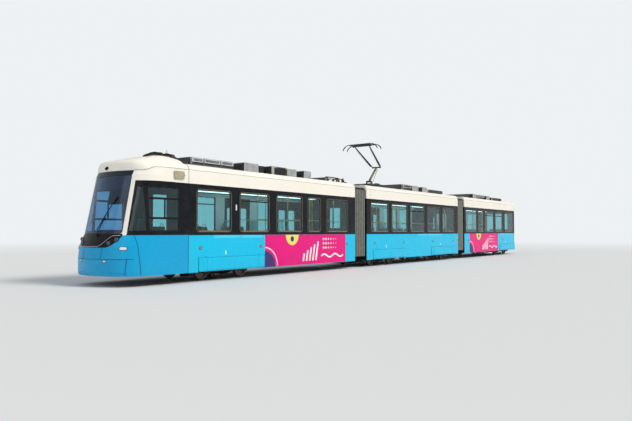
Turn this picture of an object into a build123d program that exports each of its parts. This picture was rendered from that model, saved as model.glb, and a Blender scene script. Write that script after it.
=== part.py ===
from build123d import *
from math import cos, pi, radians, sin
import os

# A three-section tram with one cab, four pivoting bogies and two folding articulations.
# Millimetres. X runs forward, Y to the left side, Z up from the tips of the wheel flanges.

# Lengths along the tram
CAB_LENGTH = 2400
END_MODULE = 9340
GAP = 960
MIDDLE_LENGTH = 10000
HALF_W = 1325
WALL = 60
END_WALL = 70
OVERCUT = 10

# Heights
SKIRT_Z = 300
BELT_Z = 1435
BAND_TOP_Z = 2980
SHOULDER_R = 220
ROOF_Z = 3580
ROOF_SKIN = 50
CEILING_Z = 2960
CEILING_THICK = 40
ROOF_END_R = 120
TAIL_TOP_R = 260
TAIL_R = 350
TAIL_CROWN = 60
TAIL_WINDOW_HALF_W = 750

# Floor
FLOOR_Z = 470
FLOOR_THICK = 50
BOGIE_FLOOR_Z = 570
CAB_FLOOR_Z = 800
RAMP = 450
SILL_Y = 1050
SILL_W = 100
SILL_DEPTH = 120
SILL_Z = 300
CROSS_W = 90
HEAD_STOCK = 200
DISC_CLEARANCE = 8
RISER = 100
CRASH_Y = 500
CRASH_SETBACK = 500
TOW_LENGTH = 200
TOW_HALF_W = 60
TOW_Z = (330, 390)
TOW_HOLE_R = 22

# Boxes over the wheels
BOX_HALF_L = 1400
BOX_IN_Y = 440
BOX_TOP_Z = 800
BOX_SKIN = 20

# Gangways
DOORWAY_HALF_W = 650
DOORWAY_TOP_Z = 2600
DISC_R = 600
DISC_GAP = 6
PIN_R = 45
RUNNING_FIT = 0.05
SEAT_GAP = 0.3
EYE_Z = (260, 380)
LOWER_YOKE_Z = (190, 230)
ARM_HALF_W = 150

# Windows
WINDOW_Z = (1560, 2795)
WINDOW_R = 70
GLASS_THICK = 8
GLASS_RECESS = 4
GLASS_FIT = 0.3

# Doors on the right side
DOOR_HALF_W = 650
DOOR_Z = (340, 2600)
DOOR_THICK = 40
DOOR_GAP = 6
DOOR_FRAME = 95
DOOR_PANE_Z = (620, 2440)

# Bogie covers
COVER_HALF_L = 1540
COVER_Z = (360, 735)
COVER_BULGE = 40
COVER_IN_Y = 1290
COVER_SLOPE = 200
COVER_SEAMS = (-1210, 0, 1190)
COVER_SLIT = 8

# Wheels and bogies
FLANGE_R = 332
TREAD_R = 305
WHEEL_IN_Y = 690
WHEEL_OUT_Y = 800
FLANGE_W = 26
FLANGE_TIP = 9
TREAD_FALL = 5
WHEEL_SEAT = 20
TYRE_IN_R = 245
HUB_R = 110
AXLE_R = 70
JOURNAL_R = 55
JOURNAL_Y = (885, 1012)
BRAKE_R = 170
BRAKE_Y = (250, 310)
WHEELBASE = 1800
FRAME_Y = (890, 1010)
AXLE_BOX_R = 130
TRANSOM_X = 300
TRANSOM_R = 70
TRANSOM_Z = 290
CENTRE_PIN_R = 60
CENTRE_HUB_R = 150
CENTRE_HUB_Z = (230, 380)
HUB_PLATE_HALF_W = 200
HUB_PLATE_Z = (260, 320)
SPRING_X = 230
SPRING_Y = 955
SPRING_R = 95
MOTOR_X = 520
MOTOR_R = 140
MOTOR_Z = 250
MOTOR_Y = (-330, 180)
MOTOR_NECK_R = 98
MOTOR_BRACKET_Y = (-120, 60)
MOTOR_BRACKET_Z = (230, 330)
GEAR_Y = (-460, -370)
GEAR_R = 150
PINION_CASE_R = 120
MAGNET_Y = 717
MAGNET_HALF_L = 420
MAGNET_HALF_W = 35
MAGNET_ROD_R = 25
MAGNET_Z = (35, 125)

SIDE_FRAME_TOP_Z = 400
SIDE_FRAME = [
    (-900, 462), (-780, 462), (-560, 400), (560, 400), (780, 462), (900, 462),
    (900, 230), (600, 250), (430, 270), (-430, 270), (-600, 250), (-900, 230),
]
WEB_Y = (735, 765)
GEAR_FIT = 6
TAIL_LAMP_Y = 1080
TAIL_LAMP_Z = (1000, 1180)

# Cab nose: plan arcs and pillars
FRONT_R = 2300
FRONT_ANGLE = radians(19)
CORNER_R = (HALF_W - FRONT_R * sin(FRONT_ANGLE)) / (1 - sin(FRONT_ANGLE))
NOSE_WALL = 50
SCREEN_THICK = 12
SCREEN_Z = (1480, 3150)
SCREEN_HALF_W = (870, 830)
PILLAR_W = 110
MASK_LOW_Z = 1090
MASK_FLAT = 450
MASK_HALF_W = 900
NOSE_SEAM_Z = 790

CORNER_PANE = (890, 500)
CAB_SLIDER = (970, 2020)
CAB_WINDOW_R = 40
SCREEN_CORNER_R = 60
BULKHEAD_THICK = 40
CAB_DOOR_HALF_W = 330
CAB_DOOR_TOP_Z = 2700
DESK_HALF_W = 1050
DESK_INSET = 130
DRIVER_X = 14900
DESK_PROFILE = [
    (15500, 800), (16400, 800), (16400, 1380), (15950, 1430), (15450, 1330), (15450, 1280), (15700, 1250),
]
DRIVER_POST_R = 60
DRIVER_POST_H = 380
DRIVER_SEAT_HALF_W = 240
DRIVER_SEAT_PROFILE = [
    (-200, 0), (260, 0), (290, 70), (270, 110), (-150, 100), (-230, 720), (-330, 730), (-260, 60),
]
LAMP_R = 55
LAMP_OUT = 12
HEAD_LAMPS = [(600, 1220), (790, 1320)]
WIPER_FOOT = (40, 1440)
WIPER_BLADE = [(-10, 1580), (255, 2045), (520, 2510)]
WIPER_OUT = 32
WIPER_ARM_R = 11
WIPER_BLADE_R = 14
WIPER_BOSS_R = 32

# Current collector, side view places as (x, z)
COLLECTOR_BASE = (1370, 3940)
COLLECTOR_KNEE = (650, 4680)
COLLECTOR_HEAD = (2020, 5570)
ROD_FOOT = (1212, 3830)
ROD_TOP = (701, 4560)
INSULATOR_TOP_Z = 3740
BASE_RAIL = 60
BASE_HALF_W = 420
BASE_X = (700, 1950)
INSULATOR_R = 40
SHED_R = 65
SHED_H = 12
SHED_PLACES = (40, 85, 130)
ARM_LUG_Y = 130
ARM_LUG_W = 24
ARM_LUG_HALF_L = (70, 30)
ARM_LUG_RISE = 35
ARM_PIN_R = 20
ARM_HUB_R = 45
LOWER_ARM_R = 38
KNEE_R = 34
KNEE_HALF_W = 190
KNEE_PIN_R = 18
KNEE_EYE_W = 40
ROD_LUG_Y = (90, 104)
ROD_EYE_Y = (62, 86)
ROD_PIN_R = 10
ROD_EYE_R = 24
ROD_LUG_HALF_L = 20
COUPLING_ROD_R = 11
UPPER_ARM_R = 20
HEAD_EYE_Y = 400
HEAD_BAR_R = 22
HEAD_PIN_R = 12
STRIP_X = 180
STRIP_UP = 60
STRIP_H = 30
STRIP_HALF_W = 20
HEAD_BRACKET_HALF_W = 8
HEAD_BRACKET_FOOT = 35
STRIP_HALF_L = 560
HORN_RUN = 380
HORN_DROP = 260
HORN_R = 13

# Bellows
BELLOWS_HALF_W = 1265
BELLOWS_TOP_Z = 3460
BELLOWS_LOW_Z = 300
BELLOWS_DEPTH = 110
BELLOWS_R = 180
BELLOWS_FOLDS = 12
BELLOWS_FOLD_DEPTH = 45

LENGTH = CAB_LENGTH + 2 * END_MODULE + 2 * GAP + MIDDLE_LENGTH
NOSE_X = LENGTH / 2
CAB_SEAM_X = NOSE_X - CAB_LENGTH
FRONT_BACK_X = CAB_SEAM_X - END_MODULE
MIDDLE_FRONT_X = FRONT_BACK_X - GAP
MIDDLE_BACK_X = MIDDLE_FRONT_X - MIDDLE_LENGTH
REAR_FRONT_X = MIDDLE_BACK_X - GAP
REAR_BACK_X = -NOSE_X
PIVOT_FRONT_X = FRONT_BACK_X - GAP / 2
PIVOT_REAR_X = REAR_FRONT_X + GAP / 2

# Windows of each section on the left side: start and end behind the section's front end
FRONT_WINDOWS = [(360, 1810), (2270, 3700), (4170, 5620), (6020, 6800), (7270, 8740)]
MIDDLE_WINDOWS = [(380, 1910), (2270, 3800), (4160, 5690), (6050, 7580), (7940, 9470)]
REAR_WINDOWS = [(220, 1940), (2180, 3060), (3300, 4880), (5200, 6500), (6980, 8700)]

# Sections: name, front x, back x, windows, windows that are doors on the right,
# door centres and bogie centres behind the front end, whether front and back have a gangway
SECTIONS = [
    ("front", CAB_SEAM_X, FRONT_BACK_X, FRONT_WINDOWS, (2, 4), (4900, 8000), (1950,), (False, True)),
    ("middle", MIDDLE_FRONT_X, MIDDLE_BACK_X, MIDDLE_WINDOWS, (2,), (4925,), (2075, 8030), (True, True)),
    ("rear", REAR_FRONT_X, REAR_BACK_X, REAR_WINDOWS, (0, 2), (1080, 4090), (7490,), (True, False)),
]

# Roof equipment on the sections: section, start and end behind the section's front end, half width,
# top height at the front and at the back, and how far its plinth stands in
ROOF_UNITS = [
    ("front", 180, 430, 900, 3620, 3850, 0),
    ("front", 440, 900, 1000, 3850, 3850, 60),
    ("front", 950, 1650, 1000, 3850, 3850, 60),
    ("front", 1700, 2260, 1000, 3850, 3850, 60),
    ("front", 2820, 3560, 980, 3900, 3900, 0),
    ("front", 3940, 4210, 700, 3890, 3890, 0),
    ("front", 4250, 5140, 1000, 3900, 3900, 0),
    ("front", 5160, 5740, 980, 3880, 3880, 0),
    ("front", 6250, 6710, 950, 3890, 3890, 0),
    ("front", 6900, 7800, 880, 3610, 3740, 0),
    ("middle", 3150, 4050, 880, 3620, 3880, 0),
    ("middle", 4060, 4900, 1000, 3880, 3880, 60),
    ("middle", 5000, 5700, 1000, 3870, 3870, 0),
    ("middle", 6250, 6800, 950, 3870, 3870, 0),
    ("middle", 6900, 8900, 900, 3800, 3800, 60),
    ("rear", 700, 1900, 880, 3630, 3840, 0),
    ("rear", 2300, 2900, 950, 3870, 3870, 0),
    ("rear", 3300, 4100, 1000, 3850, 3850, 60),
    ("rear", 4600, 5200, 950, 3850, 3850, 0),
    ("rear", 5700, 7600, 900, 3800, 3800, 60),
]
PLINTH_H = 45
# Round fan openings in the housings' tops: section, place behind its front end, side, radius
FANS = [
    ("front", 3190, 1, 230), ("front", 3190, -1, 230), ("front", 4695, 1, 260), ("front", 4695, -1, 260),
    ("middle", 5350, 1, 230), ("middle", 5350, -1, 230), ("rear", 2600, 1, 200), ("rear", 2600, -1, 200),
]
FAN_Y = 450
FAN_DEPTH = 25
FAN_HUB_R = 70

# Cab roof: the hump over the screen's top and the aerial rack on it, side views as (x, z)
HUMP_PROFILE = [
    (15680, 3430), (15350, 3590), (15050, 3650), (14850, 3655), (14100, 3590), (14100, 3540), (15150, 3520),
    (15450, 3430),
]
HUMP_HALF_W = 900
HUMP_SETBACK = 820
HUMP_INSET = 150
RACK_PROFILE = [(15100, 3580), (15100, 3680), (14850, 3780), (14200, 3755), (13950, 3700), (13950, 3580)]
RACK_HALF_W = 620
POD_X = (14300, 14680)
POD_Z = (3085, 3310)
POD_OUT = 38
POD_R = 30

# Seats: section, centre behind the front end, floor height there, facing forward (1) or back (-1)
SEATS = [
    ("front", 900, BOX_TOP_Z, -1),
    ("front", 1950, BOX_TOP_Z, 1),
    ("front", 2800, BOX_TOP_Z, -1),
    ("front", 6400, FLOOR_Z, 1),
    ("middle", 1100, BOX_TOP_Z, -1),
    ("middle", 2000, BOX_TOP_Z, 1),
    ("middle", 2900, BOX_TOP_Z, -1),
    ("middle", 7100, BOX_TOP_Z, -1),
    ("middle", 8000, BOX_TOP_Z, 1),
    ("middle", 8900, BOX_TOP_Z, -1),
    ("rear", 2600, FLOOR_Z, 1),
    ("rear", 6550, BOX_TOP_Z, -1),
    ("rear", 7450, BOX_TOP_Z, 1),
    ("rear", 8350, BOX_TOP_Z, -1),
]

# Poles: section, place behind the front end, which side (1 left, -1 right)
POLES = [
    ("front", 4000, 1), ("front", 4000, -1), ("front", 5750, 1), ("front", 5750, -1),
    ("front", 7150, 1), ("front", 7150, -1), ("front", 8850, 1), ("front", 8850, -1),
    ("middle", 150, 1), ("middle", 150, -1), ("middle", 4080, 1), ("middle", 4080, -1),
    ("middle", 5780, 1), ("middle", 5780, -1), ("middle", 9905, 1), ("middle", 9905, -1),
    ("rear", 280, 1), ("rear", 280, -1), ("rear", 1900, 1), ("rear", 1900, -1),
    ("rear", 3250, 1), ("rear", 3250, -1), ("rear", 4900, 1), ("rear", 4900, -1),
]
DOOR_RAIL_H = 120
UNIT_CHAMFER = 22
SEAT_YS = (690, 1020)
SEAT_HALF_W = 155
SEAT_PROFILE = [
    (-60, 0), (60, 0), (60, 330), (220, 360), (225, 420), (-150, 410), (-235, 900), (-275, 900),
    (-200, 350), (-60, 330),
]
POLE_R = 18
POLE_Y = 560
RAIL_Z = 1980
RAIL_R = 14

# Cab outline levels: height, setback behind the foremost point, inset all round
CAB_LEVELS = [
    (SKIRT_Z, 30, 0),
    (420, 0, 0),
    (NOSE_SEAM_Z, 0, 0),
    (1130, 40, 0),
    (SCREEN_Z[0], 210, 0),
    (SCREEN_Z[1], 580, 0),
    (3360, 690, 0),
    (3460, 840, 28),
    (3540, 1150, 95),
    (ROOF_Z, 1300, 220),
]


def block(x_range, y_range, z_range, mode=Mode.ADD):
    """A box between named limits, in the part being built."""
    size = [r[1] - r[0] for r in (x_range, y_range, z_range)]
    centre = [(r[0] + r[1]) / 2 for r in (x_range, y_range, z_range)]
    with Locations(tuple(centre)):
        Box(*size, mode=mode)


def bar_y(x, z, radius, y_range, mode=Mode.ADD):
    """A round bar across the tram, in the part being built."""
    with Locations(Location((x, sum(y_range) / 2, z), (90, 0, 0))):
        Cylinder(radius, y_range[1] - y_range[0], mode=mode)


def post(x, y, radius, z_range, mode=Mode.ADD):
    """A round upright, in the part being built."""
    with Locations((x, y, sum(z_range) / 2)):
        Cylinder(radius, z_range[1] - z_range[0], mode=mode)


def tube(start, end, radius, mode=Mode.ADD):
    """A round tube between two points, in the part being built."""
    way = Vector(*end) - Vector(*start)
    plane = Plane(origin=start, z_dir=way)
    with Locations(plane.location):
        Cylinder(radius, way.length, align=(Align.CENTER, Align.CENTER, Align.MIN), mode=mode)


def finish(part, name):
    """Labels a finished piece and writes it."""
    part.part.label = name
    export_step(part.part, f"parts/{name}.step")


def side_profile(points, y):
    """Closed side-view outline (x, z) at a distance y from the centre line."""
    with BuildSketch(Plane.XZ.offset(-y)) as profile:
        Polygon(*points, align=None)
    return profile.sketch


def window_sketch(x_range, z_range, y, radius, fit=0.0):
    """Rounded opening in a side wall; fit shrinks it all round."""
    width = x_range[1] - x_range[0] - 2 * fit
    height = z_range[1] - z_range[0] - 2 * fit
    with BuildSketch(Plane.XZ.offset(-y)) as sketch:
        with Locations((sum(x_range) / 2, sum(z_range) / 2)):
            RectangleRounded(width, height, radius - fit)
    return sketch.sketch


def behind(section, start, end):
    """x range of a stretch given as distances behind a section's front end."""
    front_x = section[1]
    return (front_x - end, front_x - start)


def section_outline(section, z, inset):
    """Plan of a section; the tail of the last one has rounded corners."""
    name, front_x, back_x = section[0:3]
    gangways = section[7]
    end_inset = 0
    if inset > 0:
        end_inset = END_WALL
    overcut = OVERCUT if inset > 0 else 0
    x_front = front_x - end_inset if gangways[0] else front_x + overcut
    x_back = back_x + (end_inset if inset > 0 else 0)
    half = HALF_W - inset
    with BuildSketch(Plane.XY.offset(z)) as outline:
        if gangways[1] or name == "front":
            Polygon((x_front, -half), (x_front, half), (x_back, half), (x_back, -half), align=None)
        else:
            tail_r = TAIL_R - inset
            crown = TAIL_CROWN
            with BuildLine():
                Line((x_front, half), (back_x + TAIL_R + crown, half))
                RadiusArc((back_x + TAIL_R + crown, half), (back_x + inset + crown, half - tail_r), -tail_r)
                ThreePointArc(
                    (back_x + inset + crown, half - tail_r),
                    (back_x + inset, 0),
                    (back_x + inset + crown, tail_r - half),
                )
                RadiusArc((back_x + inset + crown, tail_r - half), (back_x + TAIL_R + crown, -half), -tail_r)
                Line((back_x + TAIL_R + crown, -half), (x_front, -half))
                Line((x_front, -half), (x_front, half))
            make_face()
    return outline.sketch


def doorways(section, z_range):
    """Cuts the gangway doorways through a section's end walls."""
    for has_gangway, x in zip(section[7], section[1:3]):
        if has_gangway:
            block((x - END_WALL - 5, x + END_WALL + 5), (-DOORWAY_HALF_W, DOORWAY_HALF_W), z_range, Mode.SUBTRACT)


def door_cuts(section, z_range):
    """Cuts the right side's door openings."""
    for centre in section[5]:
        x_range = behind(section, centre - DOOR_HALF_W - DOOR_GAP, centre + DOOR_HALF_W + DOOR_GAP)
        block(x_range, (-HALF_W - 10, -HALF_W + WALL + 10), z_range, Mode.SUBTRACT)


def left_right_windows(section):
    """Windows as (x range, side), side 1 left and -1 right."""
    windows = []
    for number, (start, end) in enumerate(section[3]):
        x_range = behind(section, start, end)
        windows.append((x_range, 1))
        if number not in section[4]:
            windows.append((x_range, -1))
    return windows


# Lower panels: blue side walls from skirt to belt, with end walls and bogie arches
for section in SECTIONS:
    with BuildPart() as lower:
        extrude(section_outline(section, SKIRT_Z, 0), amount=BELT_Z - SKIRT_Z)
        extrude(section_outline(section, SKIRT_Z - 1, WALL), amount=BELT_Z - SKIRT_Z + 2, mode=Mode.SUBTRACT)
        doorways(section, (SKIRT_Z - 1, BELT_Z + 1))
        door_cuts(section, (DOOR_Z[0] - DOOR_GAP, BELT_Z + 1))
        for centre in section[6]:
            arch = behind(section, centre - COVER_HALF_L, centre + COVER_HALF_L)
            block(arch, (-HALF_W - 1, HALF_W + 1), (SKIRT_Z - 1, COVER_Z[1]), Mode.SUBTRACT)
    finish(lower, f"lower_panels_{section[0]}")

# Bogie covers: bulging skirt doors in the arches, with slits between them
for section in SECTIONS:
    with BuildPart() as covers:
        for centre in section[6]:
            middle_x = section[1] - centre
            half_l = COVER_HALF_L - COVER_SLIT
            with BuildSketch(Plane.YZ.offset(middle_x - half_l)):
                with BuildLine():
                    Line((COVER_IN_Y, COVER_Z[0]), (HALF_W + COVER_BULGE, COVER_Z[0]))
                    Line((HALF_W + COVER_BULGE, COVER_Z[0]), (HALF_W + COVER_BULGE, COVER_Z[1] - COVER_BULGE))
                    RadiusArc(
                        (HALF_W + COVER_BULGE, COVER_Z[1] - COVER_BULGE), (HALF_W, COVER_Z[1]), -COVER_BULGE
                    )
                    Line((HALF_W, COVER_Z[1]), (COVER_IN_Y, COVER_Z[1]))
                    Line((COVER_IN_Y, COVER_Z[1]), (COVER_IN_Y, COVER_Z[0]))
                make_face()
            extrude(amount=2 * half_l)
    with BuildPart() as plan:
        for centre in section[6]:
            middle_x = section[1] - centre
            half_l = COVER_HALF_L - COVER_SLIT
            with BuildSketch(Plane.XY.offset(SKIRT_Z)):
                Polygon(
                    (middle_x - half_l, COVER_IN_Y - 1),
                    (middle_x + half_l, COVER_IN_Y - 1),
                    (middle_x + half_l, HALF_W),
                    (middle_x + half_l - COVER_SLOPE, HALF_W + COVER_BULGE),
                    (middle_x - half_l + COVER_SLOPE, HALF_W + COVER_BULGE),
                    (middle_x - half_l, HALF_W),
                    align=None,
                )
            extrude(amount=COVER_Z[1] - SKIRT_Z + 10)
        for centre in section[6]:
            for seam in COVER_SEAMS:
                x = section[1] - centre - seam
                block((x - COVER_SLIT / 2, x + COVER_SLIT / 2), (0, HALF_W + 100), (0, 900), Mode.SUBTRACT)
    with BuildPart() as both:
        add(covers.part)
        add(plan.part, mode=Mode.INTERSECT)
        mirror(about=Plane.XZ)
    finish(both, f"bogie_covers_{section[0]}")

# Window band: black walls between belt and roof with rounded window openings
for section in SECTIONS:
    with BuildPart() as band:
        extrude(section_outline(section, BELT_Z, 0), amount=BAND_TOP_Z - BELT_Z)
        extrude(section_outline(section, BELT_Z - 1, WALL), amount=BAND_TOP_Z - BELT_Z + 2, mode=Mode.SUBTRACT)
        doorways(section, (BELT_Z - 1, DOORWAY_TOP_Z))
        door_cuts(section, (BELT_Z - 1, DOOR_Z[1] + DOOR_GAP))
        for x_range, side in left_right_windows(section):
            opening = window_sketch(x_range, WINDOW_Z, side * (HALF_W + 5), WINDOW_R)
            extrude(opening, amount=side * (WALL + 10), mode=Mode.SUBTRACT)
        if section[0] == "rear":
            with BuildSketch(Plane.YZ.offset(REAR_BACK_X - 1)):
                with Locations((0, (WINDOW_Z[0] + WINDOW_Z[1]) / 2)):
                    RectangleRounded(2 * TAIL_WINDOW_HALF_W, WINDOW_Z[1] - WINDOW_Z[0], WINDOW_R)
            extrude(amount=WALL + TAIL_CROWN + 40, mode=Mode.SUBTRACT)
    finish(band, f"window_band_{section[0]}")


def rounded_side_view(section):
    """Side view of a roof, its top corners rounded at the gangways and more at the tail."""
    name, front_x, back_x = section[0:3]
    with BuildSketch(Plane.XZ.offset(-HALF_W)) as view:
        with Locations(((front_x + back_x) / 2, ROOF_Z - DOORWAY_HALF_W)):
            Rectangle(front_x - back_x, 2 * DOORWAY_HALF_W)
        top = view.vertices().group_by(Axis.Z)[-1].sort_by(Axis.X)
        fillet(top[0], TAIL_TOP_R if name == "rear" else ROOF_END_R)
        if section[7][0]:
            fillet(view.vertices().group_by(Axis.Z)[-1].sort_by(Axis.X)[-1], ROOF_END_R)
    return view.sketch


# Roof shells: hollow section with round shoulders, closed by the ceiling and the ends
for section in SECTIONS:
    name, front_x, back_x = section[0:3]
    with BuildPart() as roof:
        with BuildSketch(Plane.YZ.offset(back_x)):
            with Locations((0, (BAND_TOP_Z + ROOF_Z) / 2)):
                Rectangle(2 * HALF_W, ROOF_Z - BAND_TOP_Z)
        extrude(amount=front_x - back_x)
        shoulders = roof.edges().filter_by(Axis.X).group_by(Axis.Z)[-1]
        fillet(shoulders, SHOULDER_R)
        inner_top = ROOF_Z - ROOF_SKIN
        inner_front = front_x - (END_WALL if section[7][0] else ROOF_SKIN)
        block(
            (back_x + END_WALL, inner_front),
            (-HALF_W + WALL, HALF_W - WALL),
            (BAND_TOP_Z - 1, ROOF_Z - SHOULDER_R),
            Mode.SUBTRACT,
        )
        block(
            (back_x + END_WALL, inner_front),
            (-HALF_W + SHOULDER_R, HALF_W - SHOULDER_R),
            (ROOF_Z - SHOULDER_R - 1, inner_top),
            Mode.SUBTRACT,
        )
        if name == "rear":
            extrude(section_outline(section, BAND_TOP_Z - 1, 0), amount=ROOF_Z, mode=Mode.INTERSECT)
        extrude(rounded_side_view(section), amount=2 * HALF_W, mode=Mode.INTERSECT)
        ceiling_back = back_x + (END_WALL if section[7][1] else TAIL_R + TAIL_CROWN)
        ceiling_front = front_x - (END_WALL if section[7][0] else 0)
        block(
            (ceiling_back, ceiling_front),
            (-HALF_W + WALL, HALF_W - WALL),
            (CEILING_Z, CEILING_Z + CEILING_THICK),
        )
    finish(roof, f"roof_{name}")


def floor_profile(section, x_back, x_front):
    """Side view of the floor plate: level, with a ramp up to each bogie's higher floor."""
    level = [(x_front, FLOOR_Z)]
    for centre in section[6]:
        middle_x = section[1] - centre
        if section[0] == "front":
            level = [(x_front, BOGIE_FLOOR_Z)]
        else:
            level.append((middle_x + BOX_HALF_L + RAMP, FLOOR_Z))
            level.append((middle_x + BOX_HALF_L, BOGIE_FLOOR_Z))
        level.append((middle_x - BOX_HALF_L, BOGIE_FLOOR_Z))
        if section[0] == "rear":
            continue
        level.append((middle_x - BOX_HALF_L - RAMP, FLOOR_Z))
    if section[0] == "rear":
        level.append((x_back, BOGIE_FLOOR_Z))
    else:
        level.append((x_back, FLOOR_Z))
    under = [(x, z - FLOOR_THICK) for x, z in reversed(level)]
    return level + under


def clear_stretches(section, x_back, x_front):
    """x ranges between the wheel boxes, where sills and cross members run."""
    limits = [x_front - HEAD_STOCK]
    for centre in section[6]:
        middle_x = section[1] - centre
        limits.append(middle_x + BOX_HALF_L + SEAT_GAP)
        limits.append(middle_x - BOX_HALF_L - SEAT_GAP)
    limits.append(x_back + HEAD_STOCK)
    pairs = [(limits[i + 1], limits[i]) for i in range(0, len(limits), 2)]
    if section[0] == "front":
        pairs = pairs[1:]
    if section[0] == "rear":
        pairs = pairs[:-1]
    return pairs


def wheel_box(middle_x, side):
    """The box over one side's wheels, open below and outside, in the part being built."""
    in_y = HALF_W - WALL
    long_x = (middle_x - BOX_HALF_L, middle_x + BOX_HALF_L)
    inner_x = (long_x[0] + BOX_SKIN, long_x[1] - BOX_SKIN)
    block(long_x, sorted((side * BOX_IN_Y, side * in_y)), (FLOOR_Z - FLOOR_THICK, BOX_TOP_Z))
    hollow_y = sorted((side * (BOX_IN_Y + BOX_SKIN), side * (in_y + 1)))
    block(inner_x, hollow_y, (0, BOX_TOP_Z - BOX_SKIN), Mode.SUBTRACT)
    step_y = sorted((side * (BOX_IN_Y - 1), side * (BOX_IN_Y + BOX_SKIN + 1)))
    block(inner_x, step_y, (0, BOGIE_FLOOR_Z - FLOOR_THICK), Mode.SUBTRACT)


def nose_outline(z, setback, inset, back_x):
    """Plan of the cab at height z: front arc, two corner arcs, straight sides."""
    front_r = FRONT_R - inset
    corner_r = CORNER_R - inset
    centre_x = NOSE_X - setback - FRONT_R
    corner_x = centre_x + (FRONT_R - CORNER_R) * cos(FRONT_ANGLE)
    corner_y = (FRONT_R - CORNER_R) * sin(FRONT_ANGLE)
    half_turn = (pi / 2 + FRONT_ANGLE) / 2
    start = (corner_x, corner_y + corner_r)
    bend = (corner_x + corner_r * cos(half_turn), corner_y + corner_r * sin(half_turn))
    joint = (centre_x + front_r * cos(FRONT_ANGLE), front_r * sin(FRONT_ANGLE))
    with BuildSketch(Plane.XY.offset(z)) as outline:
        with BuildLine():
            Line((back_x, start[1]), start)
            ThreePointArc(start, bend, joint)
            ThreePointArc(joint, (centre_x + front_r, 0), (joint[0], -joint[1]))
            ThreePointArc((joint[0], -joint[1]), (bend[0], -bend[1]), (start[0], -start[1]))
            Line((start[0], -start[1]), (back_x, -start[1]))
            Line((back_x, -start[1]), (back_x, start[1]))
        make_face()
    return outline.sketch


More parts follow.
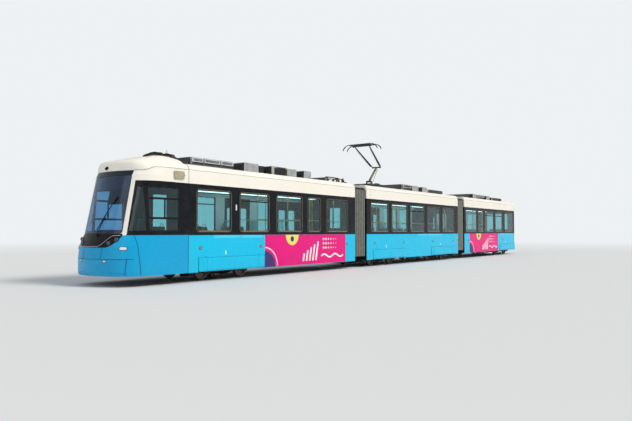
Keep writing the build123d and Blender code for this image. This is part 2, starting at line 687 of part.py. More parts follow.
# Floors: plate with ramps, wheel boxes, sills and cross members, centre pins, gangway plates
for section in SECTIONS:
    name, front_x, back_x = section[0:3]
    gangways = section[7]
    in_y = HALF_W - WALL
    x_front = front_x - (END_WALL if gangways[0] else 0)
    x_back = back_x + END_WALL
    with BuildPart() as floor:
        extrude(side_profile(floor_profile(section, x_back, x_front), in_y), amount=2 * in_y)
        if name == "rear":
            extrude(section_outline(section, 0, WALL), amount=BELT_Z, mode=Mode.INTERSECT)
        for centre in section[6]:
            middle_x = front_x - centre
            cut_x = (middle_x - BOX_HALF_L - SEAT_GAP, middle_x + BOX_HALF_L + SEAT_GAP)
            for side in (1, -1):
                cut_y = sorted((side * (BOX_IN_Y - SEAT_GAP), side * (in_y + 1)))
                block(cut_x, cut_y, (0, BOX_TOP_Z), Mode.SUBTRACT)
            post(middle_x, 0, CENTRE_PIN_R, (CENTRE_HUB_Z[0], BOGIE_FLOOR_Z - FLOOR_THICK))
            post(middle_x, 0, CENTRE_HUB_R, (CENTRE_HUB_Z[1] + SEAT_GAP, BOGIE_FLOOR_Z - FLOOR_THICK))
        beam_z = (SILL_Z, FLOOR_Z - FLOOR_THICK / 2)
        for x_range in clear_stretches(section, x_back, x_front):
            for side in (1, -1):
                sill = sorted((side * SILL_Y, side * (SILL_Y + SILL_W)))
                block(x_range, sill, beam_z)
            for x in (x_range[0], x_range[1] - CROSS_W):
                block((x, x + CROSS_W), (-SILL_Y - 1, SILL_Y + 1), beam_z)
        if name == "front":
            cab_floor = nose_outline(CAB_FLOOR_Z - FLOOR_THICK, CAB_LEVELS[2][1], WALL + 10, CAB_SEAM_X - RISER)
            extrude(cab_floor, amount=FLOOR_THICK)
            riser = (BOGIE_FLOOR_Z - FLOOR_THICK, CAB_FLOOR_Z - FLOOR_THICK)
            block((CAB_SEAM_X - RISER, CAB_SEAM_X - RISER + BOX_SKIN), (-in_y, in_y), riser)
            for side in (1, -1):
                crash_beam = sorted((side * CRASH_Y, side * (CRASH_Y + SILL_W)))
                block((CAB_SEAM_X - RISER, NOSE_X - CRASH_SETBACK), crash_beam, (SILL_Z, CAB_FLOOR_Z - FLOOR_THICK))
            beam_x = NOSE_X - CRASH_SETBACK
            block((beam_x - CROSS_W, beam_x), (-CRASH_Y, CRASH_Y), (SILL_Z, SILL_Z + SILL_DEPTH))
            block((beam_x - 1, beam_x + TOW_LENGTH), (-TOW_HALF_W, TOW_HALF_W), TOW_Z)
            tow_hole_x = beam_x + TOW_LENGTH - TOW_HALF_W
            post(tow_hole_x, 0, TOW_HOLE_R, (TOW_Z[0] - 1, TOW_Z[1] + 1), Mode.SUBTRACT)
        for has_gangway, x, pivot_x in (
            (gangways[0], front_x, front_x + GAP / 2),
            (gangways[1], back_x, back_x - GAP / 2),
        ):
            if not has_gangway:
                continue
            inward = 1 if pivot_x < x else -1
            door_floor = sorted((x, x + inward * END_WALL))
            block(door_floor, (-DOORWAY_HALF_W, DOORWAY_HALF_W), (FLOOR_Z - FLOOR_THICK, FLOOR_Z))
            head_stock = sorted((x + inward * END_WALL, x + inward * (END_WALL + HEAD_STOCK)))
            block(head_stock, (-SILL_Y, SILL_Y), (LOWER_YOKE_Z[0], FLOOR_Z - FLOOR_THICK / 2))
            if name == "middle":
                post(pivot_x, 0, DISC_R, (FLOOR_Z - FLOOR_THICK, FLOOR_Z))
                tongue = sorted((pivot_x, x + inward))
                block(tongue, (-DISC_R, DISC_R), (FLOOR_Z - FLOOR_THICK, FLOOR_Z))
                yoke = sorted((pivot_x, x + inward * (END_WALL + 1)))
                block(yoke, (-ARM_HALF_W, ARM_HALF_W), LOWER_YOKE_Z)
                post(pivot_x, 0, ARM_HALF_W, LOWER_YOKE_Z)
                post(pivot_x, 0, PIN_R, (LOWER_YOKE_Z[1], FLOOR_Z - FLOOR_THICK))
                post(pivot_x, 0, 2 * PIN_R, (LOWER_YOKE_Z[1], EYE_Z[0] - SEAT_GAP))
                post(pivot_x, 0, 2 * PIN_R, (EYE_Z[1] + SEAT_GAP, FLOOR_Z - FLOOR_THICK))
            else:
                disc_z = (FLOOR_Z - FLOOR_THICK - DISC_CLEARANCE, FLOOR_Z + 1)
                post(pivot_x, 0, DISC_R + DISC_GAP, disc_z, Mode.SUBTRACT)
                arm = sorted((pivot_x, x + inward * (END_WALL + 1)))
                block(arm, (-ARM_HALF_W, ARM_HALF_W), EYE_Z)
                post(pivot_x, 0, ARM_HALF_W, EYE_Z)
                post(pivot_x, 0, PIN_R + RUNNING_FIT, (EYE_Z[0] - 1, EYE_Z[1] + 1), Mode.SUBTRACT)
        for centre in section[6]:
            for side in (1, -1):
                with BuildPart(mode=Mode.PRIVATE) as over_wheels:
                    wheel_box(front_x - centre, side)
                add(over_wheels.part)
    finish(floor, f"floor_{name}")

# Doors: two leaves in each opening, shut
for section in SECTIONS:
    with BuildPart() as doors:
        for centre in section[5]:
            for leaf in (-1, 1):
                middle_x = section[1] - centre + leaf * DOOR_HALF_W / 2
                leaf_x = (middle_x - DOOR_HALF_W / 2 + DOOR_GAP / 2, middle_x + DOOR_HALF_W / 2 - DOOR_GAP / 2)
                block(leaf_x, (-HALF_W, -HALF_W + DOOR_THICK), DOOR_Z)
                pane_half = DOOR_HALF_W / 2 - DOOR_FRAME
                pane_x = (middle_x - pane_half, middle_x + pane_half)
                pane = window_sketch(pane_x, DOOR_PANE_Z, -HALF_W - 5, WINDOW_R)
                extrude(pane, amount=-DOOR_THICK - 10, mode=Mode.SUBTRACT)
            rail_x = behind(section, centre - DOOR_HALF_W - DOOR_GAP, centre + DOOR_HALF_W + DOOR_GAP)
            rail_y = (-HALF_W + DOOR_THICK, -HALF_W + WALL)
            block(rail_x, rail_y, (DOOR_Z[1] - DOOR_RAIL_H, DOOR_Z[1] + DOOR_GAP))
    finish(doors, f"doors_{section[0]}")

# Seats: pairs on both sides, each a shell of cushion and back on its own foot
for section in SECTIONS:
    rows = [row for row in SEATS if row[0] == section[0]]
    with BuildPart() as seats:
        for seat_y in SEAT_YS:
            for side in (1, -1):
                with BuildSketch(Plane.XZ.offset(-side * seat_y - SEAT_HALF_W)):
                    for owner, place, base_z, facing in rows:
                        x = section[1] - place
                        Polygon(*[(x + facing * px, base_z + pz) for px, pz in SEAT_PROFILE], align=None)
                extrude(amount=2 * SEAT_HALF_W)
    finish(seats, f"seats_{section[0]}")

# Hand rails: poles from floor to ceiling
for section in SECTIONS:
    places = [(section[1] - place, side * POLE_Y) for owner, place, side in POLES if owner == section[0]]
    with BuildPart() as rails:
        with BuildSketch(Plane.XY.offset(FLOOR_Z)):
            with Locations(*places):
                Circle(POLE_R)
        extrude(amount=CEILING_Z - FLOOR_Z)
        first_x = max(x for x, y in places)
        last_x = min(x for x, y in places)
        for side in (1, -1):
            tube((last_x, side * POLE_Y, RAIL_Z), (first_x, side * POLE_Y, RAIL_Z), RAIL_R)
    finish(rails, f"hand_rails_{section[0]}")


def cab_hump(mode=Mode.ADD):
    """The low hump on the cab's roof, its front following the nose, in the part being built."""
    with BuildPart(mode=Mode.PRIVATE) as hump:
        extrude(side_profile(HUMP_PROFILE, HUMP_HALF_W), amount=2 * HUMP_HALF_W)
        extrude(nose_outline(BAND_TOP_Z, HUMP_SETBACK, HUMP_INSET, CAB_SEAM_X), amount=1000, mode=Mode.INTERSECT)
    add(hump.part, mode=mode)


# Roof equipment: chamfered housings, some on plinths, some with fans in their tops; the aerial rack on the cab
for section in SECTIONS:
    with BuildPart() as units:
        for owner, start, end, half_w, front_top, back_top, inset in ROOF_UNITS:
            if owner != section[0]:
                continue
            x_back, x_front = behind(section, start, end)
            low_z = ROOF_Z + PLINTH_H if inset else ROOF_Z
            outline = [(x_front, low_z), (x_front, front_top), (x_back, back_top), (x_back, low_z)]
            with BuildPart(mode=Mode.PRIVATE) as housing:
                extrude(side_profile(outline, half_w), amount=2 * half_w)
                chamfer(housing.faces().sort_by(Axis.Z)[-1].edges(), UNIT_CHAMFER)
            add(housing.part)
        for owner, start, end, half_w, front_top, back_top, inset in ROOF_UNITS:
            if owner == section[0] and inset:
                x_back, x_front = behind(section, start, end)
                in_w = half_w - inset
                block((x_back + inset, x_front - inset), (-in_w, in_w), (ROOF_Z, ROOF_Z + PLINTH_H + 1))
        for owner, place, side, radius in FANS:
            if owner != section[0]:
                continue
            fan_x = section[1] - place
            top_z = max(u[4] for u in ROOF_UNITS if u[0] == owner and u[1] < place < u[2])
            post(fan_x, side * FAN_Y, radius, (top_z - FAN_DEPTH, top_z + 1), Mode.SUBTRACT)
            post(fan_x, side * FAN_Y, FAN_HUB_R, (top_z - FAN_DEPTH - 1, top_z - FAN_DEPTH / 3))
        if section[0] == "front":
            with BuildPart(mode=Mode.PRIVATE) as rack:
                extrude(side_profile(RACK_PROFILE, RACK_HALF_W), amount=2 * RACK_HALF_W)
                cab_hump(Mode.SUBTRACT)
            add(rack.part)
    finish(units, f"roof_units_{section[0]}")


def cab_solid(mode=Mode.ADD):
    """The cab's full outer form, in the part being built."""
    outer = [nose_outline(z, setback, inset, CAB_SEAM_X) for z, setback, inset in CAB_LEVELS]
    loft(outer, ruled=True, mode=mode)


def cab_shell(thickness):
    """Cab skin of one thickness, open below and at the seam, in the part being built."""
    cab_solid()
    inner = []
    for z, setback, inset in CAB_LEVELS:
        if z == SKIRT_Z:
            z -= 1
        if z == ROOF_Z:
            z -= thickness
        inner.append(nose_outline(z, setback, inset + thickness, CAB_SEAM_X - 5))
    loft(inner, ruled=True, mode=Mode.SUBTRACT)


def nose_point(place, out=0):
    """The point of the nose's surface at (y, z), moved out along X."""
    y, z = place
    for (low_z, low_back, low_inset), (high_z, high_back, high_inset) in zip(CAB_LEVELS, CAB_LEVELS[1:]):
        if low_z <= z <= high_z:
            setback = low_back + (z - low_z) / (high_z - low_z) * (high_back - low_back)
    return (NOSE_X - setback - FRONT_R + (FRONT_R**2 - y**2) ** 0.5 + out, y, z)


def front_view(points, radius=0):
    """Closed front-view outline (y, z) ahead of the cab, with rounded corners."""
    with BuildSketch(Plane.YZ.offset(CAB_SEAM_X + 300)) as outline:
        Polygon(*points, align=None)
        if radius:
            fillet(outline.vertices(), radius)
    return outline.sketch


def screen_outline():
    """Front view of the windscreen, narrower at its top."""
    low, high = SCREEN_HALF_W
    return front_view(
        [(-low, SCREEN_Z[0]), (low, SCREEN_Z[0]), (high, SCREEN_Z[1]), (-high, SCREEN_Z[1])], SCREEN_CORNER_R
    )


def pillar_region():
    """Front view of all that lies between the pillars' outer edges, up to the band's top."""
    low = SCREEN_HALF_W[0] + PILLAR_W
    high = SCREEN_HALF_W[1] + PILLAR_W
    return front_view([(-low, BELT_Z), (low, BELT_Z), (high, BAND_TOP_Z), (-high, BAND_TOP_Z)])


def mask_outline():
    """Front view of the dark lamp mask: flat below, rising on arcs to the screen's corners."""
    rise = BELT_Z - MASK_LOW_Z
    run = MASK_HALF_W - MASK_FLAT
    arc_r = (run**2 + rise**2) / (2 * rise)
    with BuildSketch(Plane.YZ.offset(CAB_SEAM_X + 300)) as outline:
        with BuildLine():
            Line((-MASK_FLAT, MASK_LOW_Z), (MASK_FLAT, MASK_LOW_Z))
            RadiusArc((MASK_FLAT, MASK_LOW_Z), (MASK_HALF_W, BELT_Z), -arc_r)
            Line((MASK_HALF_W, BELT_Z), (SCREEN_HALF_W[0], SCREEN_Z[0]))
            Line((SCREEN_HALF_W[0], SCREEN_Z[0]), (-SCREEN_HALF_W[0], SCREEN_Z[0]))
            Line((-SCREEN_HALF_W[0], SCREEN_Z[0]), (-MASK_HALF_W, BELT_Z))
            RadiusArc((-MASK_HALF_W, BELT_Z), (-MASK_FLAT, MASK_LOW_Z), -arc_r)
        make_face()
    return outline.sketch


FORWARD = CAB_LENGTH
with BuildPart() as mask:
    cab_shell(NOSE_WALL)
    extrude(mask_outline(), amount=FORWARD, mode=Mode.INTERSECT)
finish(mask, "lamp_mask")

with BuildPart() as nose:
    cab_shell(NOSE_WALL)
    block((0, NOSE_X), (-HALF_W, HALF_W), (0, BELT_Z), Mode.INTERSECT)
    extrude(mask_outline(), amount=FORWARD, mode=Mode.SUBTRACT)
finish(nose, "nose_panels")

with BuildPart() as cab_frame:
    cab_shell(NOSE_WALL)
    block((0, NOSE_X), (-HALF_W, HALF_W), (0, BELT_Z), Mode.SUBTRACT)
    extrude(mask_outline(), amount=FORWARD, mode=Mode.SUBTRACT)
    extrude(screen_outline(), amount=FORWARD, mode=Mode.SUBTRACT)
    with BuildPart(mode=Mode.PRIVATE) as side_region:
        block((0, NOSE_X), (-HALF_W - 1, HALF_W + 1), (BELT_Z - 1, BAND_TOP_Z))
        extrude(pillar_region(), amount=FORWARD, mode=Mode.SUBTRACT)
    add(side_region.part, mode=Mode.SUBTRACT)
    cab_hump()
    with BuildPart(mode=Mode.PRIVATE) as pods:
        block(POD_X, (-HALF_W - POD_OUT, HALF_W + POD_OUT), POD_Z)
        fillet(pods.edges().filter_by(lambda e: abs(e.center().Y) > HALF_W), POD_R)
        block((POD_X[0] - 1, POD_X[1] + 1), (-HALF_W + 1, HALF_W - 1), (POD_Z[0] - 1, POD_Z[1] + 1), Mode.SUBTRACT)
    add(pods.part)
finish(cab_frame, "cab_frame")

with BuildPart() as windscreen:
    cab_shell(SCREEN_THICK)
    extrude(screen_outline(), amount=FORWARD, mode=Mode.INTERSECT)
finish(windscreen, "windscreen")


def cab_openings(fit):
    """Cuts or keeps the cab's side windows: a raked corner pane and a sliding window behind it."""
    rake = (CAB_LEVELS[5][1] - CAB_LEVELS[4][1]) / (CAB_LEVELS[5][0] - CAB_LEVELS[4][0])
    low_x = NOSE_X - CORNER_PANE[1] - fit
    high_x = low_x - rake * (WINDOW_Z[1] - WINDOW_Z[0])
    back_x = NOSE_X - CORNER_PANE[0] + fit
    z_low = WINDOW_Z[0] + fit
    z_high = WINDOW_Z[1] - fit
    corner = side_profile([(back_x, z_low), (low_x, z_low), (high_x, z_high), (back_x, z_high)], HALF_W + 10)
    slide_x = (NOSE_X - CAB_SLIDER[1], NOSE_X - CAB_SLIDER[0])
    slider = window_sketch(slide_x, WINDOW_Z, HALF_W + 10, CAB_WINDOW_R, fit)
    return corner, slider


with BuildPart() as cab_band:
    cab_shell(WALL)
    block((0, NOSE_X), (-HALF_W, HALF_W), (BELT_Z, BAND_TOP_Z), Mode.INTERSECT)
    extrude(pillar_region(), amount=FORWARD, mode=Mode.SUBTRACT)
    for opening in cab_openings(0):
        extrude(opening, amount=2 * HALF_W + 20, mode=Mode.SUBTRACT)
finish(cab_band, "window_band_cab")

# Window glass: flush panes in the left and right openings, the door leaves and the tail
for section in SECTIONS:
    with BuildPart() as glazing:
        for x_range, side in left_right_windows(section):
            pane = window_sketch(x_range, WINDOW_Z, side * (HALF_W - GLASS_RECESS), WINDOW_R, GLASS_FIT)
            extrude(pane, amount=side * GLASS_THICK)
        for centre in section[5]:
            for leaf in (-1, 1):
                middle_x = section[1] - centre + leaf * DOOR_HALF_W / 2
                pane_half = DOOR_HALF_W / 2 - DOOR_FRAME
                pane_x = (middle_x - pane_half, middle_x + pane_half)
                pane = window_sketch(pane_x, DOOR_PANE_Z, -HALF_W + GLASS_RECESS, WINDOW_R, GLASS_FIT)
                extrude(pane, amount=-GLASS_THICK)
        if section[0] == "rear":
            pane_h = WINDOW_Z[1] - WINDOW_Z[0]
            with BuildPart(mode=Mode.PRIVATE) as tail_pane:
                extrude(section_outline(section, WINDOW_Z[0], GLASS_RECESS), amount=pane_h)
                behind_glass = section_outline(section, WINDOW_Z[0] - 1, GLASS_RECESS + GLASS_THICK)
                extrude(behind_glass, amount=pane_h + 2, mode=Mode.SUBTRACT)
                with BuildSketch(Plane.YZ.offset(REAR_BACK_X - 1)):
                    with Locations((0, sum(WINDOW_Z) / 2)):
                        RectangleRounded(
                            2 * (TAIL_WINDOW_HALF_W - GLASS_FIT), pane_h - 2 * GLASS_FIT, WINDOW_R - GLASS_FIT
                        )
                extrude(amount=TAIL_R, mode=Mode.INTERSECT)
            add(tail_pane.part)
        if section[0] == "front":
            with BuildPart(mode=Mode.PRIVATE) as cab_glass:
                cab_shell(GLASS_THICK)
                with BuildPart(mode=Mode.PRIVATE) as panes:
                    for opening in cab_openings(GLASS_FIT):
                        extrude(opening, amount=2 * HALF_W + 20)
                add(panes.part, mode=Mode.INTERSECT)
            add(cab_glass.part)
    finish(glazing, f"glass_{section[0]}")

# Cab bulkhead with its doorway, and the driver's desk and seat
with BuildPart() as bulkhead:
    in_y = HALF_W - WALL
    block((CAB_SEAM_X - BULKHEAD_THICK, CAB_SEAM_X), (-in_y, in_y), (CAB_FLOOR_Z, CEILING_Z))
    block(
        (CAB_SEAM_X - BULKHEAD_THICK - 1, CAB_SEAM_X + 1),
        (-CAB_DOOR_HALF_W, CAB_DOOR_HALF_W),
        (CAB_FLOOR_Z - 1, CAB_DOOR_TOP_Z),
        Mode.SUBTRACT,
    )
finish(bulkhead, "cab_bulkhead")

with BuildPart() as desk:
    extrude(side_profile(DESK_PROFILE, DESK_HALF_W), amount=2 * DESK_HALF_W)
    extrude(nose_outline(CAB_FLOOR_Z - 1, CAB_LEVELS[4][1], DESK_INSET, CAB_SEAM_X), amount=1000, mode=Mode.INTERSECT)
finish(desk, "drivers_desk")

with BuildPart() as driver_seat:
    post(DRIVER_X, 0, DRIVER_POST_R, (CAB_FLOOR_Z, CAB_FLOOR_Z + DRIVER_POST_H))
    seat_points = [(DRIVER_X + px, CAB_FLOOR_Z + DRIVER_POST_H + pz) for px, pz in DRIVER_SEAT_PROFILE]
    extrude(side_profile(seat_points, DRIVER_SEAT_HALF_W), amount=2 * DRIVER_SEAT_HALF_W)
finish(driver_seat, "drivers_seat")

# Head lamps set in the mask, tail lamps on the rear end
with BuildPart() as lamps:
    for lamp_y, lamp_z in HEAD_LAMPS:
        for side in (1, -1):
            with Locations(Location(nose_point((side * lamp_y, lamp_z), LAMP_OUT / 2), (0, 90, 0))):
                Cylinder(LAMP_R, LAMP_OUT + 60)
    cab_solid(Mode.SUBTRACT)
finish(lamps, "head_lamps")

# Wiper: boss on the mask, arm, and a blade that follows the screen
with BuildPart() as wiper:
    tube(nose_point(WIPER_FOOT, -LAMP_OUT), nose_point(WIPER_FOOT, WIPER_OUT + WIPER_ARM_R), WIPER_BOSS_R)
    blade = [nose_point(place, WIPER_OUT) for place in WIPER_BLADE]
    tube(nose_point(WIPER_FOOT, WIPER_OUT), blade[1], WIPER_ARM_R)
    for low_end, high_end in zip(blade, blade[1:]):
        tube(low_end, high_end, WIPER_BLADE_R)
    cab_solid(Mode.SUBTRACT)
finish(wiper, "wiper")

with BuildPart() as tail_lamps:
    for side in (1, -1):
        for lamp_z in TAIL_LAMP_Z:
            with Locations(Location((REAR_BACK_X + TAIL_CROWN, side * TAIL_LAMP_Y, lamp_z), (0, 90, 0))):
                Cylinder(LAMP_R, 2 * TAIL_CROWN + LAMP_OUT)
    extrude(section_outline(SECTIONS[2], SKIRT_Z, 0), amount=BELT_Z, mode=Mode.SUBTRACT)
finish(tail_lamps, "tail_lamps")

# Bogies: two side frames on the axle boxes, transoms, centre hub, springs, motors, gear cases, track brakes
BOGIES = [(section[1] - centre, section[0]) for section in SECTIONS for centre in section[6]]
for number, (bogie_x, owner) in enumerate(BOGIES, start=1):
    half_base = WHEELBASE / 2
    with BuildPart() as frame:
        for side in (1, -1):
            outer_y = max(side * FRAME_Y[0], side * FRAME_Y[1])
            with BuildSketch(Plane.XZ.offset(-outer_y)):
                for end in (-1, 1):
                    with Locations((bogie_x + end * half_base, FLANGE_R)):
                        Circle(AXLE_BOX_R)
                Polygon(*[(bogie_x + px, pz) for px, pz in SIDE_FRAME], align=None)
                for end in (-1, 1):
                    with Locations((bogie_x + end * half_base, FLANGE_R)):
                        Circle(JOURNAL_R + RUNNING_FIT, mode=Mode.SUBTRACT)
            extrude(amount=FRAME_Y[1] - FRAME_Y[0])
            for end in (-1, 1):
                spring_z = (SIDE_FRAME_TOP_Z - 1, BOX_TOP_Z - BOX_SKIN - SEAT_GAP)
                post(bogie_x + end * SPRING_X, side * SPRING_Y, SPRING_R, spring_z)
                post(bogie_x + end * TRANSOM_X, side * MAGNET_Y, MAGNET_ROD_R, (MAGNET_Z[1] - 1, TRANSOM_Z))
            magnet_y = sorted((side * (MAGNET_Y - MAGNET_HALF_W), side * (MAGNET_Y + MAGNET_HALF_W)))
            block((bogie_x - MAGNET_HALF_L, bogie_x + MAGNET_HALF_L), magnet_y, MAGNET_Z)
        for end in (-1, 1):
            bar_y(bogie_x + end * TRANSOM_X, TRANSOM_Z, TRANSOM_R, (-FRAME_Y[0] - 1, FRAME_Y[0] + 1))
            motor_y = sorted((end * MOTOR_Y[0], end * MOTOR_Y[1]))
            bar_y(bogie_x + end * MOTOR_X, MOTOR_Z, MOTOR_R, motor_y)
            bracket_x = sorted((bogie_x + end * TRANSOM_X, bogie_x + end * MOTOR_X))
            bracket_y = sorted((end * MOTOR_BRACKET_Y[0], end * MOTOR_BRACKET_Y[1]))
            block(bracket_x, bracket_y, MOTOR_BRACKET_Z)
            gear_y = sorted((end * GEAR_Y[0], end * GEAR_Y[1]))
            gear_top = max(gear_y)
            with BuildSketch(Plane.XZ.offset(-gear_top)):
                with Locations((bogie_x + end * half_base, FLANGE_R)):
                    Circle(GEAR_R)
                with Locations((bogie_x + end * MOTOR_X, MOTOR_Z)):
                    Circle(PINION_CASE_R)
                make_hull()
                with Locations((bogie_x + end * half_base, FLANGE_R)):
                    Circle(AXLE_R + GEAR_FIT, mode=Mode.SUBTRACT)
            extrude(amount=GEAR_Y[1] - GEAR_Y[0])
            motor_neck = sorted((end * (GEAR_Y[1] - 1), end * (MOTOR_Y[0] + 1)))
            bar_y(bogie_x + end * MOTOR_X, MOTOR_Z, MOTOR_NECK_R, motor_neck)
        hub_plate_y = (-HUB_PLATE_HALF_W, HUB_PLATE_HALF_W)
        block((bogie_x - TRANSOM_X, bogie_x + TRANSOM_X), hub_plate_y, HUB_PLATE_Z)
        post(bogie_x, 0, CENTRE_HUB_R, CENTRE_HUB_Z)
        post(bogie_x, 0, CENTRE_PIN_R + RUNNING_FIT, (0, FLOOR_Z), Mode.SUBTRACT)
    finish(frame, f"bogie_{number}")
    for axle_number, end in enumerate((1, -1), start=1):
        axle_x = bogie_x + end * half_base
        with BuildPart() as wheelset:
            with BuildSketch(Plane.YZ.offset(axle_x)):
                half = [
                    (0, 0), (0, AXLE_R), (WHEEL_IN_Y - WHEEL_SEAT, AXLE_R), (WHEEL_IN_Y - WHEEL_SEAT, HUB_R),
                    (WEB_Y[0], HUB_R), (WEB_Y[0], TYRE_IN_R), (WHEEL_IN_Y, TYRE_IN_R),
                    (WHEEL_IN_Y, FLANGE_R - FLANGE_TIP), (WHEEL_IN_Y + FLANGE_TIP, FLANGE_R),
                    (WHEEL_IN_Y + FLANGE_W, TREAD_R), (WHEEL_OUT_Y, TREAD_R - TREAD_FALL),
                    (WHEEL_OUT_Y, TYRE_IN_R), (WEB_Y[1], TYRE_IN_R), (WEB_Y[1], HUB_R),
                    (WHEEL_OUT_Y + WHEEL_SEAT, HUB_R), (WHEEL_OUT_Y + WHEEL_SEAT, AXLE_R),
                    (JOURNAL_Y[0], AXLE_R), (JOURNAL_Y[0], JOURNAL_R), (JOURNAL_Y[1], JOURNAL_R),
                    (JOURNAL_Y[1], 0),
                ]
                Polygon(*[(y, FLANGE_R + r) for y, r in half], align=None)
                mirror(about=Plane.YZ)
                with Locations((sum(BRAKE_Y) / 2, FLANGE_R + (AXLE_R + BRAKE_R) / 2)):
                    Rectangle(BRAKE_Y[1] - BRAKE_Y[0], BRAKE_R - AXLE_R)
            revolve(axis=Axis((axle_x, 0, FLANGE_R), (0, 1, 0)))
        finish(wheelset, f"wheelset_{number}_{axle_number}")


def at(place, y):
    """A side-view place (x, z) as a point at y."""
    return (place[0], y, place[1])


# Current collector base: rails on insulators, lugs for the lower arm and the coupling rod
with BuildPart() as base:
    low_z = INSULATOR_TOP_Z
    for side in (1, -1):
        rail_y = sorted((side * (BASE_HALF_W - BASE_RAIL), side * BASE_HALF_W))
        block((BASE_X[0], BASE_X[1]), rail_y, (low_z, low_z + BASE_RAIL))
        for x in (BASE_X[0] + BASE_RAIL, BASE_X[1] - BASE_RAIL):
            post(x, side * (BASE_HALF_W - BASE_RAIL / 2), INSULATOR_R, (ROOF_Z, low_z))
            for shed in SHED_PLACES:
                shed_z = (ROOF_Z + shed, ROOF_Z + shed + SHED_H)
                post(x, side * (BASE_HALF_W - BASE_RAIL / 2), SHED_R, shed_z)
        lug = [
            (COLLECTOR_BASE[0] - ARM_LUG_HALF_L[0], low_z + BASE_RAIL - 1),
            (COLLECTOR_BASE[0] + ARM_LUG_HALF_L[0], low_z + BASE_RAIL - 1),
            (COLLECTOR_BASE[0] + ARM_LUG_HALF_L[1], COLLECTOR_BASE[1] + ARM_LUG_RISE),
            (COLLECTOR_BASE[0] - ARM_LUG_HALF_L[1], COLLECTOR_BASE[1] + ARM_LUG_RISE),
        ]
        outer_y = side * ARM_LUG_Y + ARM_LUG_W / 2
        extrude(side_profile(lug, outer_y), amount=ARM_LUG_W)
    for x in (BASE_X[0], COLLECTOR_BASE[0] - BASE_RAIL / 2, BASE_X[1] - BASE_RAIL):
        block((x, x + BASE_RAIL), (-BASE_HALF_W, BASE_HALF_W), (low_z, low_z + BASE_RAIL))
    block((ROD_FOOT[0] - 30, COLLECTOR_BASE[0]), (ROD_LUG_Y[0], ROD_LUG_Y[1]), (low_z + 20, low_z + BASE_RAIL))
    rod_lug_x = (ROD_FOOT[0] - ROD_LUG_HALF_L, ROD_FOOT[0] + ROD_LUG_HALF_L)
    block(rod_lug_x, ROD_LUG_Y, (low_z + 20, ROD_FOOT[1] + ROD_LUG_HALF_L))
    bar_y(ROD_FOOT[0], ROD_FOOT[1], ROD_PIN_R, (ROD_EYE_Y[0] - 4, ROD_LUG_Y[0] + 1))
    bar_y(COLLECTOR_BASE[0], COLLECTOR_BASE[1], ARM_PIN_R + RUNNING_FIT, (-300, 300), Mode.SUBTRACT)
finish(base, "collector_base")

with BuildPart() as lower_arm:
    bar_y(*COLLECTOR_BASE, ARM_HUB_R, (-ARM_LUG_Y + ARM_LUG_W / 2 + 3, ARM_LUG_Y - ARM_LUG_W / 2 - 3))
    bar_y(*COLLECTOR_BASE, ARM_PIN_R, (-ARM_LUG_Y - ARM_LUG_W / 2 - 5, ARM_LUG_Y + ARM_LUG_W / 2 + 5))
    tube(at(COLLECTOR_BASE, 0), at(COLLECTOR_KNEE, 0), LOWER_ARM_R)
    bar_y(*COLLECTOR_KNEE, KNEE_R, (-KNEE_HALF_W, KNEE_HALF_W))
    bar_y(*COLLECTOR_KNEE, KNEE_PIN_R, (-KNEE_HALF_W - KNEE_EYE_W - 8, KNEE_HALF_W + KNEE_EYE_W + 8))
finish(lower_arm, "collector_lower_arm")

with BuildPart() as rod:
    bar_y(*ROD_FOOT, ROD_EYE_R, ROD_EYE_Y)
    tube(at(ROD_FOOT, sum(ROD_EYE_Y) / 2), at(ROD_TOP, sum(ROD_EYE_Y) / 2), COUPLING_ROD_R)
    bar_y(*ROD_TOP, ROD_EYE_R, ROD_EYE_Y)
    bar_y(*ROD_FOOT, ROD_PIN_R + RUNNING_FIT, (0, 200), Mode.SUBTRACT)
finish(rod, "collector_rod")

with BuildPart() as upper_arm:
    for side in (1, -1):
        eye_y = sorted((side * (KNEE_HALF_W + 3), side * (KNEE_HALF_W + 3 + KNEE_EYE_W)))
        bar_y(*COLLECTOR_KNEE, KNEE_R + 6, eye_y)
        tube(at(COLLECTOR_KNEE, sum(eye_y) / 2), at(COLLECTOR_HEAD, side * HEAD_EYE_Y), UPPER_ARM_R)
    bar_y(*COLLECTOR_HEAD, HEAD_BAR_R, (-HEAD_EYE_Y - 40, HEAD_EYE_Y + 40))
    bar_y(*COLLECTOR_HEAD, HEAD_PIN_R, (-HEAD_EYE_Y - 90, HEAD_EYE_Y + 90))
    bar_y(*COLLECTOR_KNEE, KNEE_PIN_R + RUNNING_FIT, (-400, 400), Mode.SUBTRACT)
finish(upper_arm, "collector_upper_arm")

